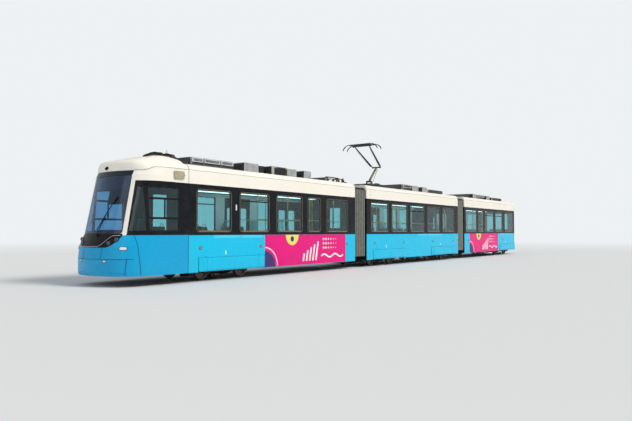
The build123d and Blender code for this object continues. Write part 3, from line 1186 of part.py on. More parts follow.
with BuildPart() as head:
    for side in (1, -1):
        bracket_y = side * (HEAD_EYE_Y + 60)
        reach = STRIP_X + STRIP_HALF_W
        bracket = [
            (COLLECTOR_HEAD[0] - reach, COLLECTOR_HEAD[1] + STRIP_UP),
            (COLLECTOR_HEAD[0] + reach, COLLECTOR_HEAD[1] + STRIP_UP),
            (COLLECTOR_HEAD[0] + reach, COLLECTOR_HEAD[1] + STRIP_UP - STRIP_HALF_W),
            (COLLECTOR_HEAD[0] + HEAD_BRACKET_FOOT, COLLECTOR_HEAD[1] - HEAD_BRACKET_FOOT),
            (COLLECTOR_HEAD[0] - HEAD_BRACKET_FOOT, COLLECTOR_HEAD[1] - HEAD_BRACKET_FOOT),
            (COLLECTOR_HEAD[0] - reach, COLLECTOR_HEAD[1] + STRIP_UP - STRIP_HALF_W),
        ]
        bracket_face = side_profile(bracket, bracket_y + HEAD_BRACKET_HALF_W)
        extrude(bracket_face, amount=2 * HEAD_BRACKET_HALF_W)
    for end in (-1, 1):
        x = COLLECTOR_HEAD[0] + end * STRIP_X
        top_z = COLLECTOR_HEAD[1] + STRIP_UP
        strip_x = (x - STRIP_HALF_W, x + STRIP_HALF_W)
        block(strip_x, (-STRIP_HALF_L, STRIP_HALF_L), (top_z - 1, top_z + STRIP_H))
        for side in (1, -1):
            with BuildLine() as horn:
                l1 = Line((x, side * (STRIP_HALF_L - 20), top_z + 15), (x, side * STRIP_HALF_L, top_z + 15))
                ThreePointArc(
                    (x, side * STRIP_HALF_L, top_z + 15),
                    (x, side * (STRIP_HALF_L + HORN_RUN * 0.6), top_z + 15 - HORN_DROP * 0.28),
                    (x, side * (STRIP_HALF_L + HORN_RUN), top_z + 15 - HORN_DROP),
                )
            with BuildSketch(Plane(origin=l1 @ 0, z_dir=l1 % 0)):
                Circle(HORN_R)
            sweep(path=horn.line)
    bar_y(*COLLECTOR_HEAD, HEAD_PIN_R + RUNNING_FIT, (-900, 900), Mode.SUBTRACT)
finish(head, "collector_head")

# Bellows: folded tunnel walls over each articulation, open below
for number, (low_x, high_x) in enumerate(
    [(MIDDLE_FRONT_X, FRONT_BACK_X - SEAT_GAP), (REAR_FRONT_X + SEAT_GAP, MIDDLE_BACK_X)], start=1
):
    with BuildPart() as bellows:
        rings = []
        for step in range(2 * BELLOWS_FOLDS + 1):
            dip = BELLOWS_FOLD_DEPTH * (1 - step % 2)
            with BuildSketch(Plane.YZ.offset(low_x + (high_x - low_x) * step / (2 * BELLOWS_FOLDS))) as ring:
                with Locations((0, (BELLOWS_LOW_Z + BELLOWS_TOP_Z) / 2)):
                    height = BELLOWS_TOP_Z - BELLOWS_LOW_Z - 2 * dip
                    RectangleRounded(2 * (BELLOWS_HALF_W - dip), height, BELLOWS_R - dip)
            rings.append(ring.sketch)
        loft(rings, ruled=True)
        inner_half = BELLOWS_HALF_W - BELLOWS_DEPTH
        tunnel = (low_x - 1, high_x + 1)
        block(tunnel, (-inner_half, inner_half), (BELLOWS_LOW_Z - 1, BELLOWS_TOP_Z - BELLOWS_DEPTH), Mode.SUBTRACT)
        block(tunnel, (-HALF_W, HALF_W), (BELLOWS_LOW_Z - 1, BELLOWS_LOW_Z + BELLOWS_R), Mode.SUBTRACT)
    finish(bellows, f"bellows_{number}")
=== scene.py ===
"""The looks of a three-section articulated tram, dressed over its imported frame.

Metres. X runs forward along the tram, Y to its left side, Z up from the tips of the wheel flanges.
"""
import math

import bmesh
import bpy
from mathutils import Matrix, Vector


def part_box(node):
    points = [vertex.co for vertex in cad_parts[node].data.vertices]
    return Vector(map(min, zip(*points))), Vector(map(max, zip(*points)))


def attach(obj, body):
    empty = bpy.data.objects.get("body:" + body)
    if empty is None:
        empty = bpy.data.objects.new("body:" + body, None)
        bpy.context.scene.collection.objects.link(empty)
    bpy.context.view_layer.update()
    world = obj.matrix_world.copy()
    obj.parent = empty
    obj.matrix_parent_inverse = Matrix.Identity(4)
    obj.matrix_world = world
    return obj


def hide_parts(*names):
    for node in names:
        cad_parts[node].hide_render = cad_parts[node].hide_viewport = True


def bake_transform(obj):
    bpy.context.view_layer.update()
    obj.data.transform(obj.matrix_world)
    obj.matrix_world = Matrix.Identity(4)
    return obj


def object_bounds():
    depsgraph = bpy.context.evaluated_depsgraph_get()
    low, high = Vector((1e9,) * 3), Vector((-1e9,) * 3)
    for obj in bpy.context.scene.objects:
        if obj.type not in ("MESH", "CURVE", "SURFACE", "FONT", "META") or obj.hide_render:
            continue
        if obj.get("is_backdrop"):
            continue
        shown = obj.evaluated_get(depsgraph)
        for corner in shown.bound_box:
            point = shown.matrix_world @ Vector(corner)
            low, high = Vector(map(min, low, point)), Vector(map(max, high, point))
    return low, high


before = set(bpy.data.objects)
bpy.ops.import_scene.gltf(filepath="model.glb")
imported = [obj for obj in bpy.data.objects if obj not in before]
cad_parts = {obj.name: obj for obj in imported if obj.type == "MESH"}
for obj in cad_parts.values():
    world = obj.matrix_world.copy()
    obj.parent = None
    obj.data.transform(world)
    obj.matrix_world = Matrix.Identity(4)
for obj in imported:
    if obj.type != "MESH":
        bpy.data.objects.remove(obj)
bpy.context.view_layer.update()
scene = bpy.context.scene

# The body's driving sizes, read from the frame
SECTION_NAMES = ("front", "middle", "rear")
SPAN = {name: (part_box(f"roof_{name}")[1].x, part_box(f"roof_{name}")[0].x) for name in SECTION_NAMES}
SIDE_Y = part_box("roof_middle")[1].y
ROOF_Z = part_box("roof_middle")[1].z
BELT_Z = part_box("window_band_middle")[0].z
BAND_TOP_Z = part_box("window_band_middle")[1].z
SKIRT_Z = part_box("lower_panels_middle")[0].z
NOSE_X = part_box("nose_panels")[1].x
CAB_SEAM_X = SPAN["front"][0]
TAIL_X = SPAN["rear"][1]

# Sizes that the solids keep too
WALL = 0.060
FLOOR_Z = 0.470
CEILING_Z = 2.960
WINDOW_LOW_Z = 1.560
WINDOW_HIGH_Z = 2.795
WINDOW_R = 0.070
SHOULDER_R = 0.220
TAIL_CORNER_R = 0.350
TAIL_CROWN = 0.060
TAIL_WINDOW_HALF_W = 0.750
DOOR_HALF_W = 0.650
DOOR_LOW_Z = 0.340
DOOR_HIGH_Z = 2.600
COVER_HALF_L = 1.540
COVER_TOP_Z = 0.735
WINDOWS = {
    "front": [(0.360, 1.810), (2.270, 3.700), (4.170, 5.620), (6.020, 6.800), (7.270, 8.740)],
    "middle": [(0.380, 1.910), (2.270, 3.800), (4.160, 5.690), (6.050, 7.580), (7.940, 9.470)],
    "rear": [(0.220, 1.940), (2.180, 3.060), (3.300, 4.880), (5.200, 6.500), (6.980, 8.700)],
}
DOOR_WINDOWS = {"front": (2, 4), "middle": (2,), "rear": (0, 2)}
DOORS = {"front": (4.900, 8.000), "middle": (4.925,), "rear": (1.080, 4.090)}
BOGIES = {
    "bogie_1": ("front", 1.950), "bogie_2": ("middle", 2.075),
    "bogie_3": ("middle", 8.030), "bogie_4": ("rear", 7.490),
}

# The nose: plan arcs, and levels as height, setback and inset
FRONT_R = 2.300
FRONT_TURN = math.radians(19)
CORNER_R = (SIDE_Y - FRONT_R * math.sin(FRONT_TURN)) / (1 - math.sin(FRONT_TURN))
CAB_LEVELS = [
    (0.300, 0.030, 0.0), (0.420, 0.0, 0.0), (0.790, 0.0, 0.0), (1.130, 0.040, 0.0), (1.480, 0.210, 0.0),
    (3.150, 0.580, 0.0), (3.360, 0.690, 0.0), (3.460, 0.840, 0.028), (3.540, 1.150, 0.095), (3.580, 1.300, 0.220),
]

# Roof gear: section, start and end behind the section's front, half width, top at front and back, plinth, style
ROOF_UNITS = [
    ("front", 0.180, 0.430, 0.900, 3.620, 3.850, 0.0, "shroud"),
    ("front", 0.440, 0.900, 1.000, 3.850, 3.850, 0.045, "louvred"),
    ("front", 0.950, 1.650, 1.000, 3.850, 3.850, 0.045, "louvred"),
    ("front", 1.700, 2.260, 1.000, 3.850, 3.850, 0.045, "louvred"),
    ("front", 2.820, 3.560, 0.980, 3.900, 3.900, 0.0, "panelled"),
    ("front", 3.940, 4.210, 0.700, 3.890, 3.890, 0.0, "shroud"),
    ("front", 4.250, 5.140, 1.000, 3.900, 3.900, 0.0, "grille"),
    ("front", 5.160, 5.740, 0.980, 3.880, 3.880, 0.0, "panelled"),
    ("front", 6.250, 6.710, 0.950, 3.890, 3.890, 0.0, "panelled"),
    ("front", 6.900, 7.800, 0.880, 3.610, 3.740, 0.0, "shroud"),
    ("middle", 3.150, 4.050, 0.880, 3.620, 3.880, 0.0, "shroud"),
    ("middle", 4.060, 4.900, 1.000, 3.880, 3.880, 0.045, "louvred"),
    ("middle", 5.000, 5.700, 1.000, 3.870, 3.870, 0.0, "panelled"),
    ("middle", 6.250, 6.800, 0.950, 3.870, 3.870, 0.0, "panelled"),
    ("middle", 6.900, 8.900, 0.900, 3.800, 3.800, 0.045, "grille"),
    ("rear", 0.700, 1.900, 0.880, 3.630, 3.840, 0.0, "shroud"),
    ("rear", 2.300, 2.900, 0.950, 3.870, 3.870, 0.0, "panelled"),
    ("rear", 3.300, 4.100, 1.000, 3.850, 3.850, 0.045, "louvred"),
    ("rear", 4.600, 5.200, 0.950, 3.850, 3.850, 0.0, "panelled"),
    ("rear", 5.700, 7.600, 0.900, 3.800, 3.800, 0.045, "grille"),
]
FANS = [
    ("front", 3.190, 3.900, 0.230), ("front", 4.695, 3.900, 0.260), ("middle", 5.350, 3.870, 0.230),
    ("rear", 2.600, 3.870, 0.200),
]
FAN_Y = 0.450

# Seats: section, centre behind the front end, height that they stand on, facing
SEATS = [
    ("front", 0.900, 0.800, -1), ("front", 1.950, 0.800, 1), ("front", 2.800, 0.800, -1), ("front", 6.400, 0.470, 1),
    ("middle", 1.100, 0.800, -1), ("middle", 2.000, 0.800, 1), ("middle", 2.900, 0.800, -1),
    ("middle", 7.100, 0.800, -1), ("middle", 8.000, 0.800, 1), ("middle", 8.900, 0.800, -1),
    ("rear", 2.600, 0.470, 1), ("rear", 6.550, 0.800, -1), ("rear", 7.450, 0.800, 1), ("rear", 8.350, 0.800, -1),
]
SEAT_YS = (0.690, 1.020)
POLES = {
    "front": (4.000, 5.750, 7.150, 8.850), "middle": (0.150, 4.080, 5.780, 9.905), "rear": (0.280, 1.900, 3.250, 4.900),
}
POLE_Y = 0.560
RAIL_Z = 1.980

# Camera, worked out from the photograph's vanishing point and horizon
PHOTO_W, PHOTO_H = 632, 421
FOCAL_PX = 614.0
HORIZON_ROW = 231.8
CAMERA_AT = Vector((26.76, 15.11, 1.53))
LOOK_ASIDE = math.radians(35.7)
SENSOR_MM = 36.0

camera_data = bpy.data.cameras.new("camera")
camera = bpy.data.objects.new("camera", camera_data)
scene.collection.objects.link(camera)
camera_data.sensor_width = SENSOR_MM
camera_data.lens = FOCAL_PX / PHOTO_W * SENSOR_MM
camera_data.clip_end = 500.0
pitch = math.atan((HORIZON_ROW - PHOTO_H / 2) / FOCAL_PX)
looking = Vector((
    -math.cos(LOOK_ASIDE) * math.cos(pitch), -math.sin(LOOK_ASIDE) * math.cos(pitch), math.sin(pitch)
))
camera.location = CAMERA_AT
camera.rotation_mode = "QUATERNION"
camera.rotation_quaternion = looking.to_track_quat("-Z", "Y")
scene.camera = camera
scene.view_settings.view_transform = "Standard"


def colour(code):
    """An sRGB hex value as a linear colour."""
    parts = [int(code[i:i + 2], 16) / 255 for i in (0, 2, 4)]
    return (*[c / 12.92 if c <= 0.04045 else ((c + 0.055) / 1.055) ** 2.4 for c in parts], 1.0)


def add(tree, kind, settings=None, links=None):
    """Adds a node: settings name its properties and inputs, links say which output or node feeds an input."""
    made = tree.nodes.new(kind)
    for name, value in (settings or {}).items():
        if isinstance(name, int) or name in made.inputs:
            made.inputs[name].default_value = value
        else:
            setattr(made, name, value)
    for name, given in (links or {}).items():
        output = given if isinstance(given, bpy.types.NodeSocket) else given.outputs[0]
        tree.links.new(output, made.inputs[name])
    return made


def start_finish(name, settings):
    """A material whose shader has these plain settings. Returns it with its tree and shader."""
    made = bpy.data.materials.new(name)
    made.use_nodes = True
    shader = made.node_tree.nodes["Principled BSDF"]
    for socket, value in settings.items():
        shader.inputs[socket].default_value = value
    return made, made.node_tree, shader


def object_place(tree):
    """The object's own coordinates, in metres."""
    return add(tree, "ShaderNodeTexCoord").outputs["Object"]


def noise_at(tree, size, stretch=(1, 1, 1), detail=4.0):
    """Noise on the object's own coordinates; size is the real width of its patches in metres."""
    scale = [1 / (size * s) for s in stretch]
    scaled = add(tree, "ShaderNodeMapping", {"Scale": scale}, {"Vector": object_place(tree)}).outputs["Vector"]
    return add(tree, "ShaderNodeTexNoise", {"Scale": 1.0, "Detail": detail}, {"Vector": scaled}).outputs["Fac"]


def spread(tree, value, low, high, to_low=0.0, to_high=1.0):
    """Stretches a value from low..high to a new range."""
    return add(tree, "ShaderNodeMapRange", {
        "From Min": low, "From Max": high, "To Min": to_low, "To Max": to_high,
    }, {"Value": value}).outputs["Result"]


def blend_colours(tree, share, first, second):
    """Mixes two colours, each a hex value or an output, by a share."""
    settings, links = {"data_type": "RGBA"}, {0: share}
    for socket, given in ((6, first), (7, second)):
        if isinstance(given, str):
            settings[socket] = colour(given)
        else:
            links[socket] = given
    return add(tree, "ShaderNodeMix", settings, links).outputs[2]


def bump(tree, shader, height, distance, strength=1.0):
    """Gives the shader a relief from a height pattern; distance is its real depth in metres."""
    relief = add(tree, "ShaderNodeBump", {"Strength": strength, "Distance": distance}, {"Height": height})
    tree.links.new(relief.outputs["Normal"], shader.inputs["Normal"])


def height_of(tree, low, high):
    """Share of the way up from one height to another."""
    parts = add(tree, "ShaderNodeSeparateXYZ", links={"Vector": object_place(tree)})
    return spread(tree, parts.outputs["Z"], low, high)


def enamel(name, base, dusty, gloss):
    """Sprayed two-pack vehicle enamel: a clear gloss over even colour, orange peel, and road film low down."""
    made, tree, shader = start_finish(name, {
        "IOR": 1.5, "Coat Weight": 0.15, "Coat Roughness": 0.06, "Specular IOR Level": 0.22,
    })
    streaks = spread(tree, noise_at(tree, 0.12, (1, 1, 7)), 0.45, 0.8)
    low_down = spread(tree, height_of(tree, SKIRT_Z, 0.95), 0.0, 1.0, 1.0, 0.0)
    film = add(tree, "ShaderNodeMath", {"operation": "MULTIPLY"}, {0: streaks, 1: low_down})
    film = spread(tree, film, 0.0, 1.0, 0.0, 0.55)
    cloudy = spread(tree, noise_at(tree, 0.9), 0.35, 0.75, 0.0, 0.12)
    tone = blend_colours(tree, cloudy, base, dusty)
    tone = blend_colours(tree, film, tone, dusty)
    tree.links.new(tone, shader.inputs["Base Color"])
    rough = spread(tree, noise_at(tree, 0.35), 0.3, 0.7, gloss, gloss + 0.12)
    tree.links.new(rough, shader.inputs["Roughness"])
    bump(tree, shader, noise_at(tree, 0.03, detail=2.0), 0.0004, 0.25)
    return made


def even_finish(name, base, other, size, rough, depth=0.0, settings=None):
    """A finish of two near tones in patches of a real size, with its roughness range and relief."""
    made, tree, shader = start_finish(name, settings or {})
    patches = noise_at(tree, size)
    share = spread(tree, patches, 0.35, 0.7)
    tree.links.new(blend_colours(tree, share, base, other), shader.inputs["Base Color"])
    tree.links.new(spread(tree, patches, 0.3, 0.7, rough[0], rough[1]), shader.inputs["Roughness"])
    if depth:
        bump(tree, shader, patches, depth)
    return made


def tinted_glass(name, tint):
    """Body-tinted toughened glass: clear, with the faint ripple of its rolling."""
    made, tree, shader = start_finish(name, {
        "Transmission Weight": 1.0, "IOR": 1.5, "Base Color": colour(tint), "Roughness": 0.0,
    })
    bump(tree, shader, noise_at(tree, 0.7, detail=1.0), 0.001, 0.2)
    return made


def woven_plush(name, ground, figure, thread_mm):
    """Woven wool plush: a small scattered figure on an even ground, soft at the edges of each tuft."""
    made, tree, shader = start_finish(name, {"Sheen Weight": 0.4, "Sheen Roughness": 0.5, "Roughness": 0.9})
    figures = add(tree, "ShaderNodeTexVoronoi", {"Scale": 28.0, "Randomness": 0.35}, {"Vector": object_place(tree)})
    share = spread(tree, figures.outputs["Distance"], 0.16, 0.24, 1.0, 0.0)
    tree.links.new(blend_colours(tree, share, ground, figure), shader.inputs["Base Color"])
    bump(tree, shader, noise_at(tree, thread_mm / 1000, detail=1.0), 0.0006, 0.7)
    return made


def dotted_panel(name, ground, dot, pitch):
    """A dark display panel of unlit diodes: a regular grid of dots behind a smoked face."""
    made, tree, shader = start_finish(name, {"Coat Weight": 0.6, "Coat Roughness": 0.05, "Roughness": 0.4})
    grid = add(tree, "ShaderNodeTexVoronoi", {"Scale": 1 / pitch, "Randomness": 0.0}, {"Vector": object_place(tree)})
    share = spread(tree, grid.outputs["Distance"], 0.22, 0.32, 1.0, 0.0)
    tree.links.new(blend_colours(tree, share, ground, dot), shader.inputs["Base Color"])
    return made


# Two-pack enamel, sprayed and baked: even and glossy, a little road film near the skirt
cyan_enamel = enamel("cyan_body_enamel", "00BDE6", "38AECB", 0.24)
# The nose's enamel is a deeper copy of the body's blue: painted shade, the nose being the same blue as the sides
shaded_cyan_cab_enamel = enamel("shaded_cyan_cab_enamel", "009FD2", "2F98BC", 0.22)
# A paler copy of the blue for the rail under the windows: painted highlight on the raised rail
highlit_rail_enamel = enamel("highlit_cyan_rail_enamel", "45CDEE", "6CBFD6", 0.28)
cream_enamel = enamel("cream_body_enamel", "F1ECE1", "D9D3C6", 0.32)
# Printed calendered vinyl film: a little duller than the enamel below it
magenta_vinyl = enamel("magenta_vinyl_film", "E2007C", "B01268", 0.34)
white_vinyl = enamel("white_vinyl_film", "F6F4F1", "CFC9C4", 0.32)
violet_vinyl = enamel("violet_vinyl_film", "3B2A6E", "55487A", 0.32)
yellow_vinyl = enamel("yellow_vinyl_film", "E6DE6A", "B9B36A", 0.32)

# Black polyester enamel on the window band: deep, with a soft sheen
band_black = even_finish("black_band_enamel", "0A0F15", "161A1F", 0.25, (0.18, 0.32), settings={
    "IOR": 1.45, "Specular IOR Level": 0.18, "Coat Weight": 0.08, "Coat Roughness": 0.08,
})
mask_black = even_finish("black_moulded_mask", "06070A", "0F1115", 0.20, (0.10, 0.20), settings={
    "IOR": 1.45, "Specular IOR Level": 0.2, "Coat Weight": 0.1, "Coat Roughness": 0.05,
})
screen_print = even_finish("navy_screen_print", "081522", "0C1D2E", 0.20, (0.06, 0.12), settings={
    "Specular IOR Level": 0.3, "Coat Weight": 0.2, "Coat Roughness": 0.04,
})

# Body-tinted toughened glass: teal at the sides, bluer at the front, smoked over the head lamps
side_glass = tinted_glass("teal_tinted_glass", "A8DBE0")
screen_glass = tinted_glass("blue_tinted_screen", "6E9FD0")
lamp_glass = tinted_glass("smoked_polycarbonate", "9AA0A8")

# EPDM sealing rubber round the panes, weathered brown-grey, and a pale tan lower lip that is a painted highlight of
# light on the lower ledge
gasket_rubber = even_finish("weathered_window_rubber", "453C2E", "5C5140", 0.04, (0.45, 0.65), 0.0005)
lip_highlight_rubber = even_finish("bleached_window_rubber", "A8895A", "8A724C", 0.05, (0.5, 0.7), 0.0005)
seam_sealant = even_finish("grey_seam_sealant", "7D776C", "67635C", 0.03, (0.6, 0.8), 0.0003)
joint_shadow = even_finish("dark_panel_joint", "06222E", "0E3442", 0.03, (0.6, 0.8), 0.0003)
black_rubber = even_finish("black_moulded_rubber", "0B0C0D", "18191A", 0.02, (0.6, 0.8), 0.0004, {
    "Specular IOR Level": 0.2,
})

# Coated fabric of the bellows, matt: painted highlight on the ridges and painted shade in the folds, by how far out the
# cloth lies, with dusty patches on the ridge tone
BELLOWS_SIDE_Y, BELLOWS_TOP_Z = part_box("bellows_1")[1].yz
FOLD_DEPTH = 0.050
bellows_cloth, cloth_tree, cloth_shader = start_finish("coated_bellows_fabric", {"Specular IOR Level": 0.2})
cloth_parts = add(cloth_tree, "ShaderNodeSeparateXYZ", links={"Vector": object_place(cloth_tree)})
cloth_aside = add(cloth_tree, "ShaderNodeMath", {"operation": "ABSOLUTE"}, {0: cloth_parts.outputs["Y"]})
side_ridge = spread(cloth_tree, cloth_aside, BELLOWS_SIDE_Y - FOLD_DEPTH, BELLOWS_SIDE_Y)
top_ridge = spread(cloth_tree, cloth_parts.outputs["Z"], BELLOWS_TOP_Z - FOLD_DEPTH, BELLOWS_TOP_Z)
fold_light_share = add(cloth_tree, "ShaderNodeMath", {"operation": "MAXIMUM"}, {0: side_ridge, 1: top_ridge})
dusty_lit_cloth = blend_colours(cloth_tree, spread(cloth_tree, noise_at(cloth_tree, 0.08), 0.35, 0.7), "A2A49B", "84867D")
cloth_tone = blend_colours(cloth_tree, fold_light_share.outputs[0], "1F211E", dusty_lit_cloth)
cloth_tree.links.new(cloth_tone, cloth_shader.inputs["Base Color"])
cloth_shader.inputs["Roughness"].default_value = 0.85
bump(cloth_tree, cloth_shader, noise_at(cloth_tree, 0.02, detail=2.0), 0.0008)

# Chassis paint: matt black over steel, browned by brake dust
chassis_paint = even_finish("black_chassis_paint", "141313", "2B2622", 0.10, (0.6, 0.85), 0.0010)
bogie_paint = even_finish("dusty_bogie_paint", "211E1C", "3B322A", 0.06, (0.65, 0.9), 0.0015)
wheel_steel = even_finish("rolled_wheel_steel", "57504A", "7B746C", 0.03, (0.35, 0.6), 0.0005, {"Metallic": 0.8})
spring_steel = even_finish("painted_spring_steel", "2A2C2E", "4A3A2E", 0.04, (0.5, 0.7), 0.0006)
zinc_steel = even_finish("zinc_plated_steel", "8E9092", "6E6A64", 0.02, (0.35, 0.5), 0.0003, {"Metallic": 0.85})

# Roof gear: powder coat in light grey, white, olive and black, warning marks, cast resin, and the collector's
# paint and carbon
grey_powder = even_finish("grey_powder_coat", "A9ACAE", "8B8E8F", 0.15, (0.45, 0.6), 0.0004)
white_powder = even_finish("white_powder_coat", "E2E3E2", "C6C6C2", 0.15, (0.4, 0.55), 0.0003)
olive_powder = even_finish("olive_powder_coat", "6F6B50", "55523F", 0.12, (0.5, 0.65), 0.0004)
dark_powder = even_finish("black_powder_coat", "15171A", "2A2C2E", 0.12, (0.5, 0.7), 0.0004)
warning_yellow = even_finish("yellow_warning_paint", "E0A81C", "B98A1E", 0.05, (0.4, 0.6), 0.0003)
insulator_resin = even_finish("brown_cast_resin", "5B2F22", "6E4030", 0.02, (0.25, 0.4), 0.0003)
collector_paint = even_finish("grey_collector_paint", "24272A", "3C4042", 0.05, (0.45, 0.65), 0.0004)
contact_carbon = even_finish("contact_strip_carbon", "1C1C1D", "303031", 0.02, (0.4, 0.6), 0.0004)

# Inside: laminate panels, yellow powder-coated poles, woven wool plush on the seats
cab_laminate = even_finish("grey_cab_moulding", "2E3336", "3B4145", 0.10, (0.5, 0.7), 0.0004)
lining_laminate = even_finish("grey_lining_laminate", "E0E5E3", "CFD5D4", 0.30, (0.4, 0.55), 0.0002)
pole_yellow = even_finish("yellow_pole_coating", "E8B71A", "D1A21C", 0.05, (0.3, 0.45), 0.0002)
seat_shell = even_finish("blue_grey_seat_shell", "2C4A66", "38597A", 0.02, (0.5, 0.7), 0.0004)
seat_plush = woven_plush("woven_blue_plush", "1E5878", "4FA3B8", 4)
driver_plush = woven_plush("woven_grey_plush", "2B2E33", "45494F", 4)
tread_metal = even_finish("brushed_tread_aluminium", "A8ABAE", "8C8F92", 0.03, (0.3, 0.45), 0.0004, {"Metallic": 0.9})
door_paint = even_finish("black_door_enamel", "101216", "1C1E22", 0.20, (0.25, 0.4), settings={
    "Specular IOR Level": 0.3,
})
display_face = dotted_panel("unlit_diode_panel", "0A0B0D", "3A2A14", 0.012)
screen_face = even_finish("dark_instrument_glass", "0B1218", "15202A", 0.10, (0.08, 0.16), settings={
    "Coat Weight": 0.6,
})

# Grey-beige shell of the rear-view cameras: a darker copy of the cab's cream, painted shade
shaded_pod_shell = even_finish("beige_camera_shell", "B2A88C", "9A9178", 0.05, (0.45, 0.6), 0.0004)

# Lamps: moulded lenses and a vacuum-metallised reflector
amber_lens = even_finish("amber_lamp_lens", "F08A12", "D9750B", 0.01, (0.15, 0.25), settings={"Coat Weight": 0.5})
red_lens = even_finish("red_lamp_lens", "A80F0C", "7E0A08", 0.01, (0.15, 0.25), settings={"Coat Weight": 0.5})
white_lens = even_finish("white_lamp_lens", "EDEFF0", "D5D8DA", 0.01, (0.15, 0.25), settings={"Coat Weight": 0.5})
reflector = even_finish("smoked_reflector", "3A3E44", "23262A", 0.01, (0.15, 0.3), settings={"Metallic": 1.0})
bright_trim = even_finish("bright_aluminium_trim", "C9CCD0", "AEB2B6", 0.03, (0.25, 0.4), settings={"Metallic": 0.9})
strip_light = even_finish("diffused_ceiling_light", "F4F6F4", "E8ECEA", 0.20, (0.4, 0.5), settings={
    "Emission Color": colour("F4F8F6"), "Emission Strength": 3.0,
})

FINISHES = [
    ("lower_panels", cyan_enamel), ("bogie_covers", cyan_enamel), ("nose_panels", shaded_cyan_cab_enamel),
    ("window_band", band_black), ("roof_units", grey_powder), ("roof", cream_enamel),
    ("cab_frame", cream_enamel), ("floor", chassis_paint), ("glass", side_glass),
    ("windscreen", screen_glass), ("seats", seat_shell), ("drivers_seat", cab_laminate),
    ("hand_rails", pole_yellow), ("doors", door_paint), ("lamp_mask", mask_black),
    ("head_lamps", lamp_glass), ("tail_lamps", red_lens), ("cab_bulkhead", cab_laminate),
    ("drivers_desk", cab_laminate), ("bogie", bogie_paint), ("wheelset", wheel_steel),
    ("collector", collector_paint), ("bellows", bellows_cloth), ("wiper", black_rubber),
]
for node_name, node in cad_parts.items():
    finish_for = next(finish for start, finish in FINISHES if node_name.startswith(start))
    for material_slot in node.material_slots:
        material_slot.material = finish_for
    if not node.material_slots:
        node.data.materials.append(finish_for)


# Forms; a thin one's foot goes this deep into its surface
SINK = 0.001


def skin(shape, rings, closed=False):
    """Joins rings of points, each a closed loop, into one closed form."""
    loops = [[shape.verts.new(point) for point in ring] for ring in rings]
    pairs = list(zip(loops, loops[1:]))
    if closed:
        pairs.append((loops[-1], loops[0]))
    else:
        shape.faces.new(list(reversed(loops[0])))
        shape.faces.new(loops[-1])
    for a, b in pairs:
        for i in range(len(a)):
            j = (i + 1) % len(a)
            shape.faces.new((a[i], a[j], b[j], b[i]))


def bar(shape, low, high):
    """A closed bar between two corners."""
    (x0, y0, z0), (x1, y1, z1) = low, high
    skin(shape, [[(x0, y0, z), (x1, y0, z), (x1, y1, z), (x0, y1, z)] for z in (z0, z1)])


def rounded(width, height, radius, steps, centre):
    """Points round a rounded rectangle, as (along, up)."""
    points = []
    for corner, (sx, sy) in enumerate(((1, 1), (-1, 1), (-1, -1), (1, -1))):
        for i in range(steps + 1):
            turn = math.radians(90 * (corner + i / steps))
            points.append((
                centre[0] + sx * (width / 2 - radius) + radius * math.cos(turn),
                centre[1] + sy * (height / 2 - radius) + radius * math.sin(turn),
            ))
    return points


def disc_outline(centre, radius, steps, start=0, sweep=360):
    """Points round a disc, or a sector of one, as (along, up)."""
    count = steps if sweep == 360 else steps + 1
    turns = [math.radians(start + sweep * i / steps) for i in range(count)]
    return [(centre[0] + radius * math.cos(t), centre[1] + radius * math.sin(t)) for t in turns]


def plate(shape, outline, height, put):
    """A thin closed plate on a surface; put turns (along, up, out) into a place."""
    skin(shape, [[put(u, v, out) for u, v in outline] for out in (-SINK, height)])


def ring_frame(shape, outer, inner, profile, put):
    """A closed frame between an outer and an inner outline; profile gives (share inward, outward)."""
    rings = []
    for share, out in profile:
        rings.append([put(ox + (ix - ox) * share, oy + (iy - oy) * share, out)
                      for (ox, oy), (ix, iy) in zip(outer, inner)])
    skin(shape, rings, closed=True)


def round_rim(shape, centre, outer_r, inner_r, steps, profile, put):
    """A closed round frame."""
    ring_frame(shape, disc_outline(centre, outer_r, steps), disc_outline(centre, inner_r, steps), profile, put)


def dome(shape, outline, rise, put, levels=4):
    """A closed lens on an outline, its face rising in a round crown."""
    count = len(outline)
    middle = (sum(u for u, v in outline) / count, sum(v for u, v in outline) / count)
    rings = [[put(u, v, -SINK) for u, v in outline]]
    for level in range(levels):
        share = math.cos(math.pi / 2 * level / levels)
        out = rise * (0.35 + 0.65 * math.sin(math.pi / 2 * level / levels))
        rings.append([put(middle[0] + (u - middle[0]) * share, middle[1] + (v - middle[1]) * share, out)
                      for u, v in outline])
    skin(shape, rings)


def strip(shape, path, width, height, put, closed=False, sink=SINK):
    """A flat bar laid along a path on a surface, its corners mitred."""
    count = len(path)
    rings = []
    for i, (u, v) in enumerate(path):
        here = Vector((u, v))
        before = Vector(path[i - 1]) if closed or i else here
        after = Vector(path[(i + 1) % count]) if closed or i < count - 1 else here
        into_corner = (here - before).normalized() if (here - before).length else (after - here).normalized()
        out_of_corner = (after - here).normalized() if (after - here).length else into_corner
        way = (into_corner + out_of_corner).normalized()
        mitre = width / 2 / max(way.dot(out_of_corner), 0.5)
        aside = Vector((-way.y, way.x)) * mitre
        left, right = here + aside, here - aside
        rings.append([put(*left, -sink), put(*left, height), put(*right, height), put(*right, -sink)])
    skin(shape, rings, closed)


def level_path(start, end, up, parts):
    """Points along a level line, in equal parts."""
    return [(start + (end - start) * i / parts, up) for i in range(parts + 1)]


def fine(path, step=0.05):
    """The same path with a point at least every step, so that it can follow a curved surface."""
    points = [path[0]]
    for (u0, v0), (u1, v1) in zip(path, path[1:]):
        parts = max(math.ceil(math.hypot(u1 - u0, v1 - v0) / step), 1)
        points += [(u0 + (u1 - u0) * i / parts, v0 + (v1 - v0) * i / parts) for i in range(1, parts + 1)]
    return points


def level_across(middle, half, up, parts=1):
    """Points along a level line, reaching as far on both sides of its middle."""
    return level_path(middle - half, middle + half, up, parts)


def fine_across(half, up):
    """A level line across the middle, fine enough for a curved surface."""
    return fine(level_across(0, half, up))


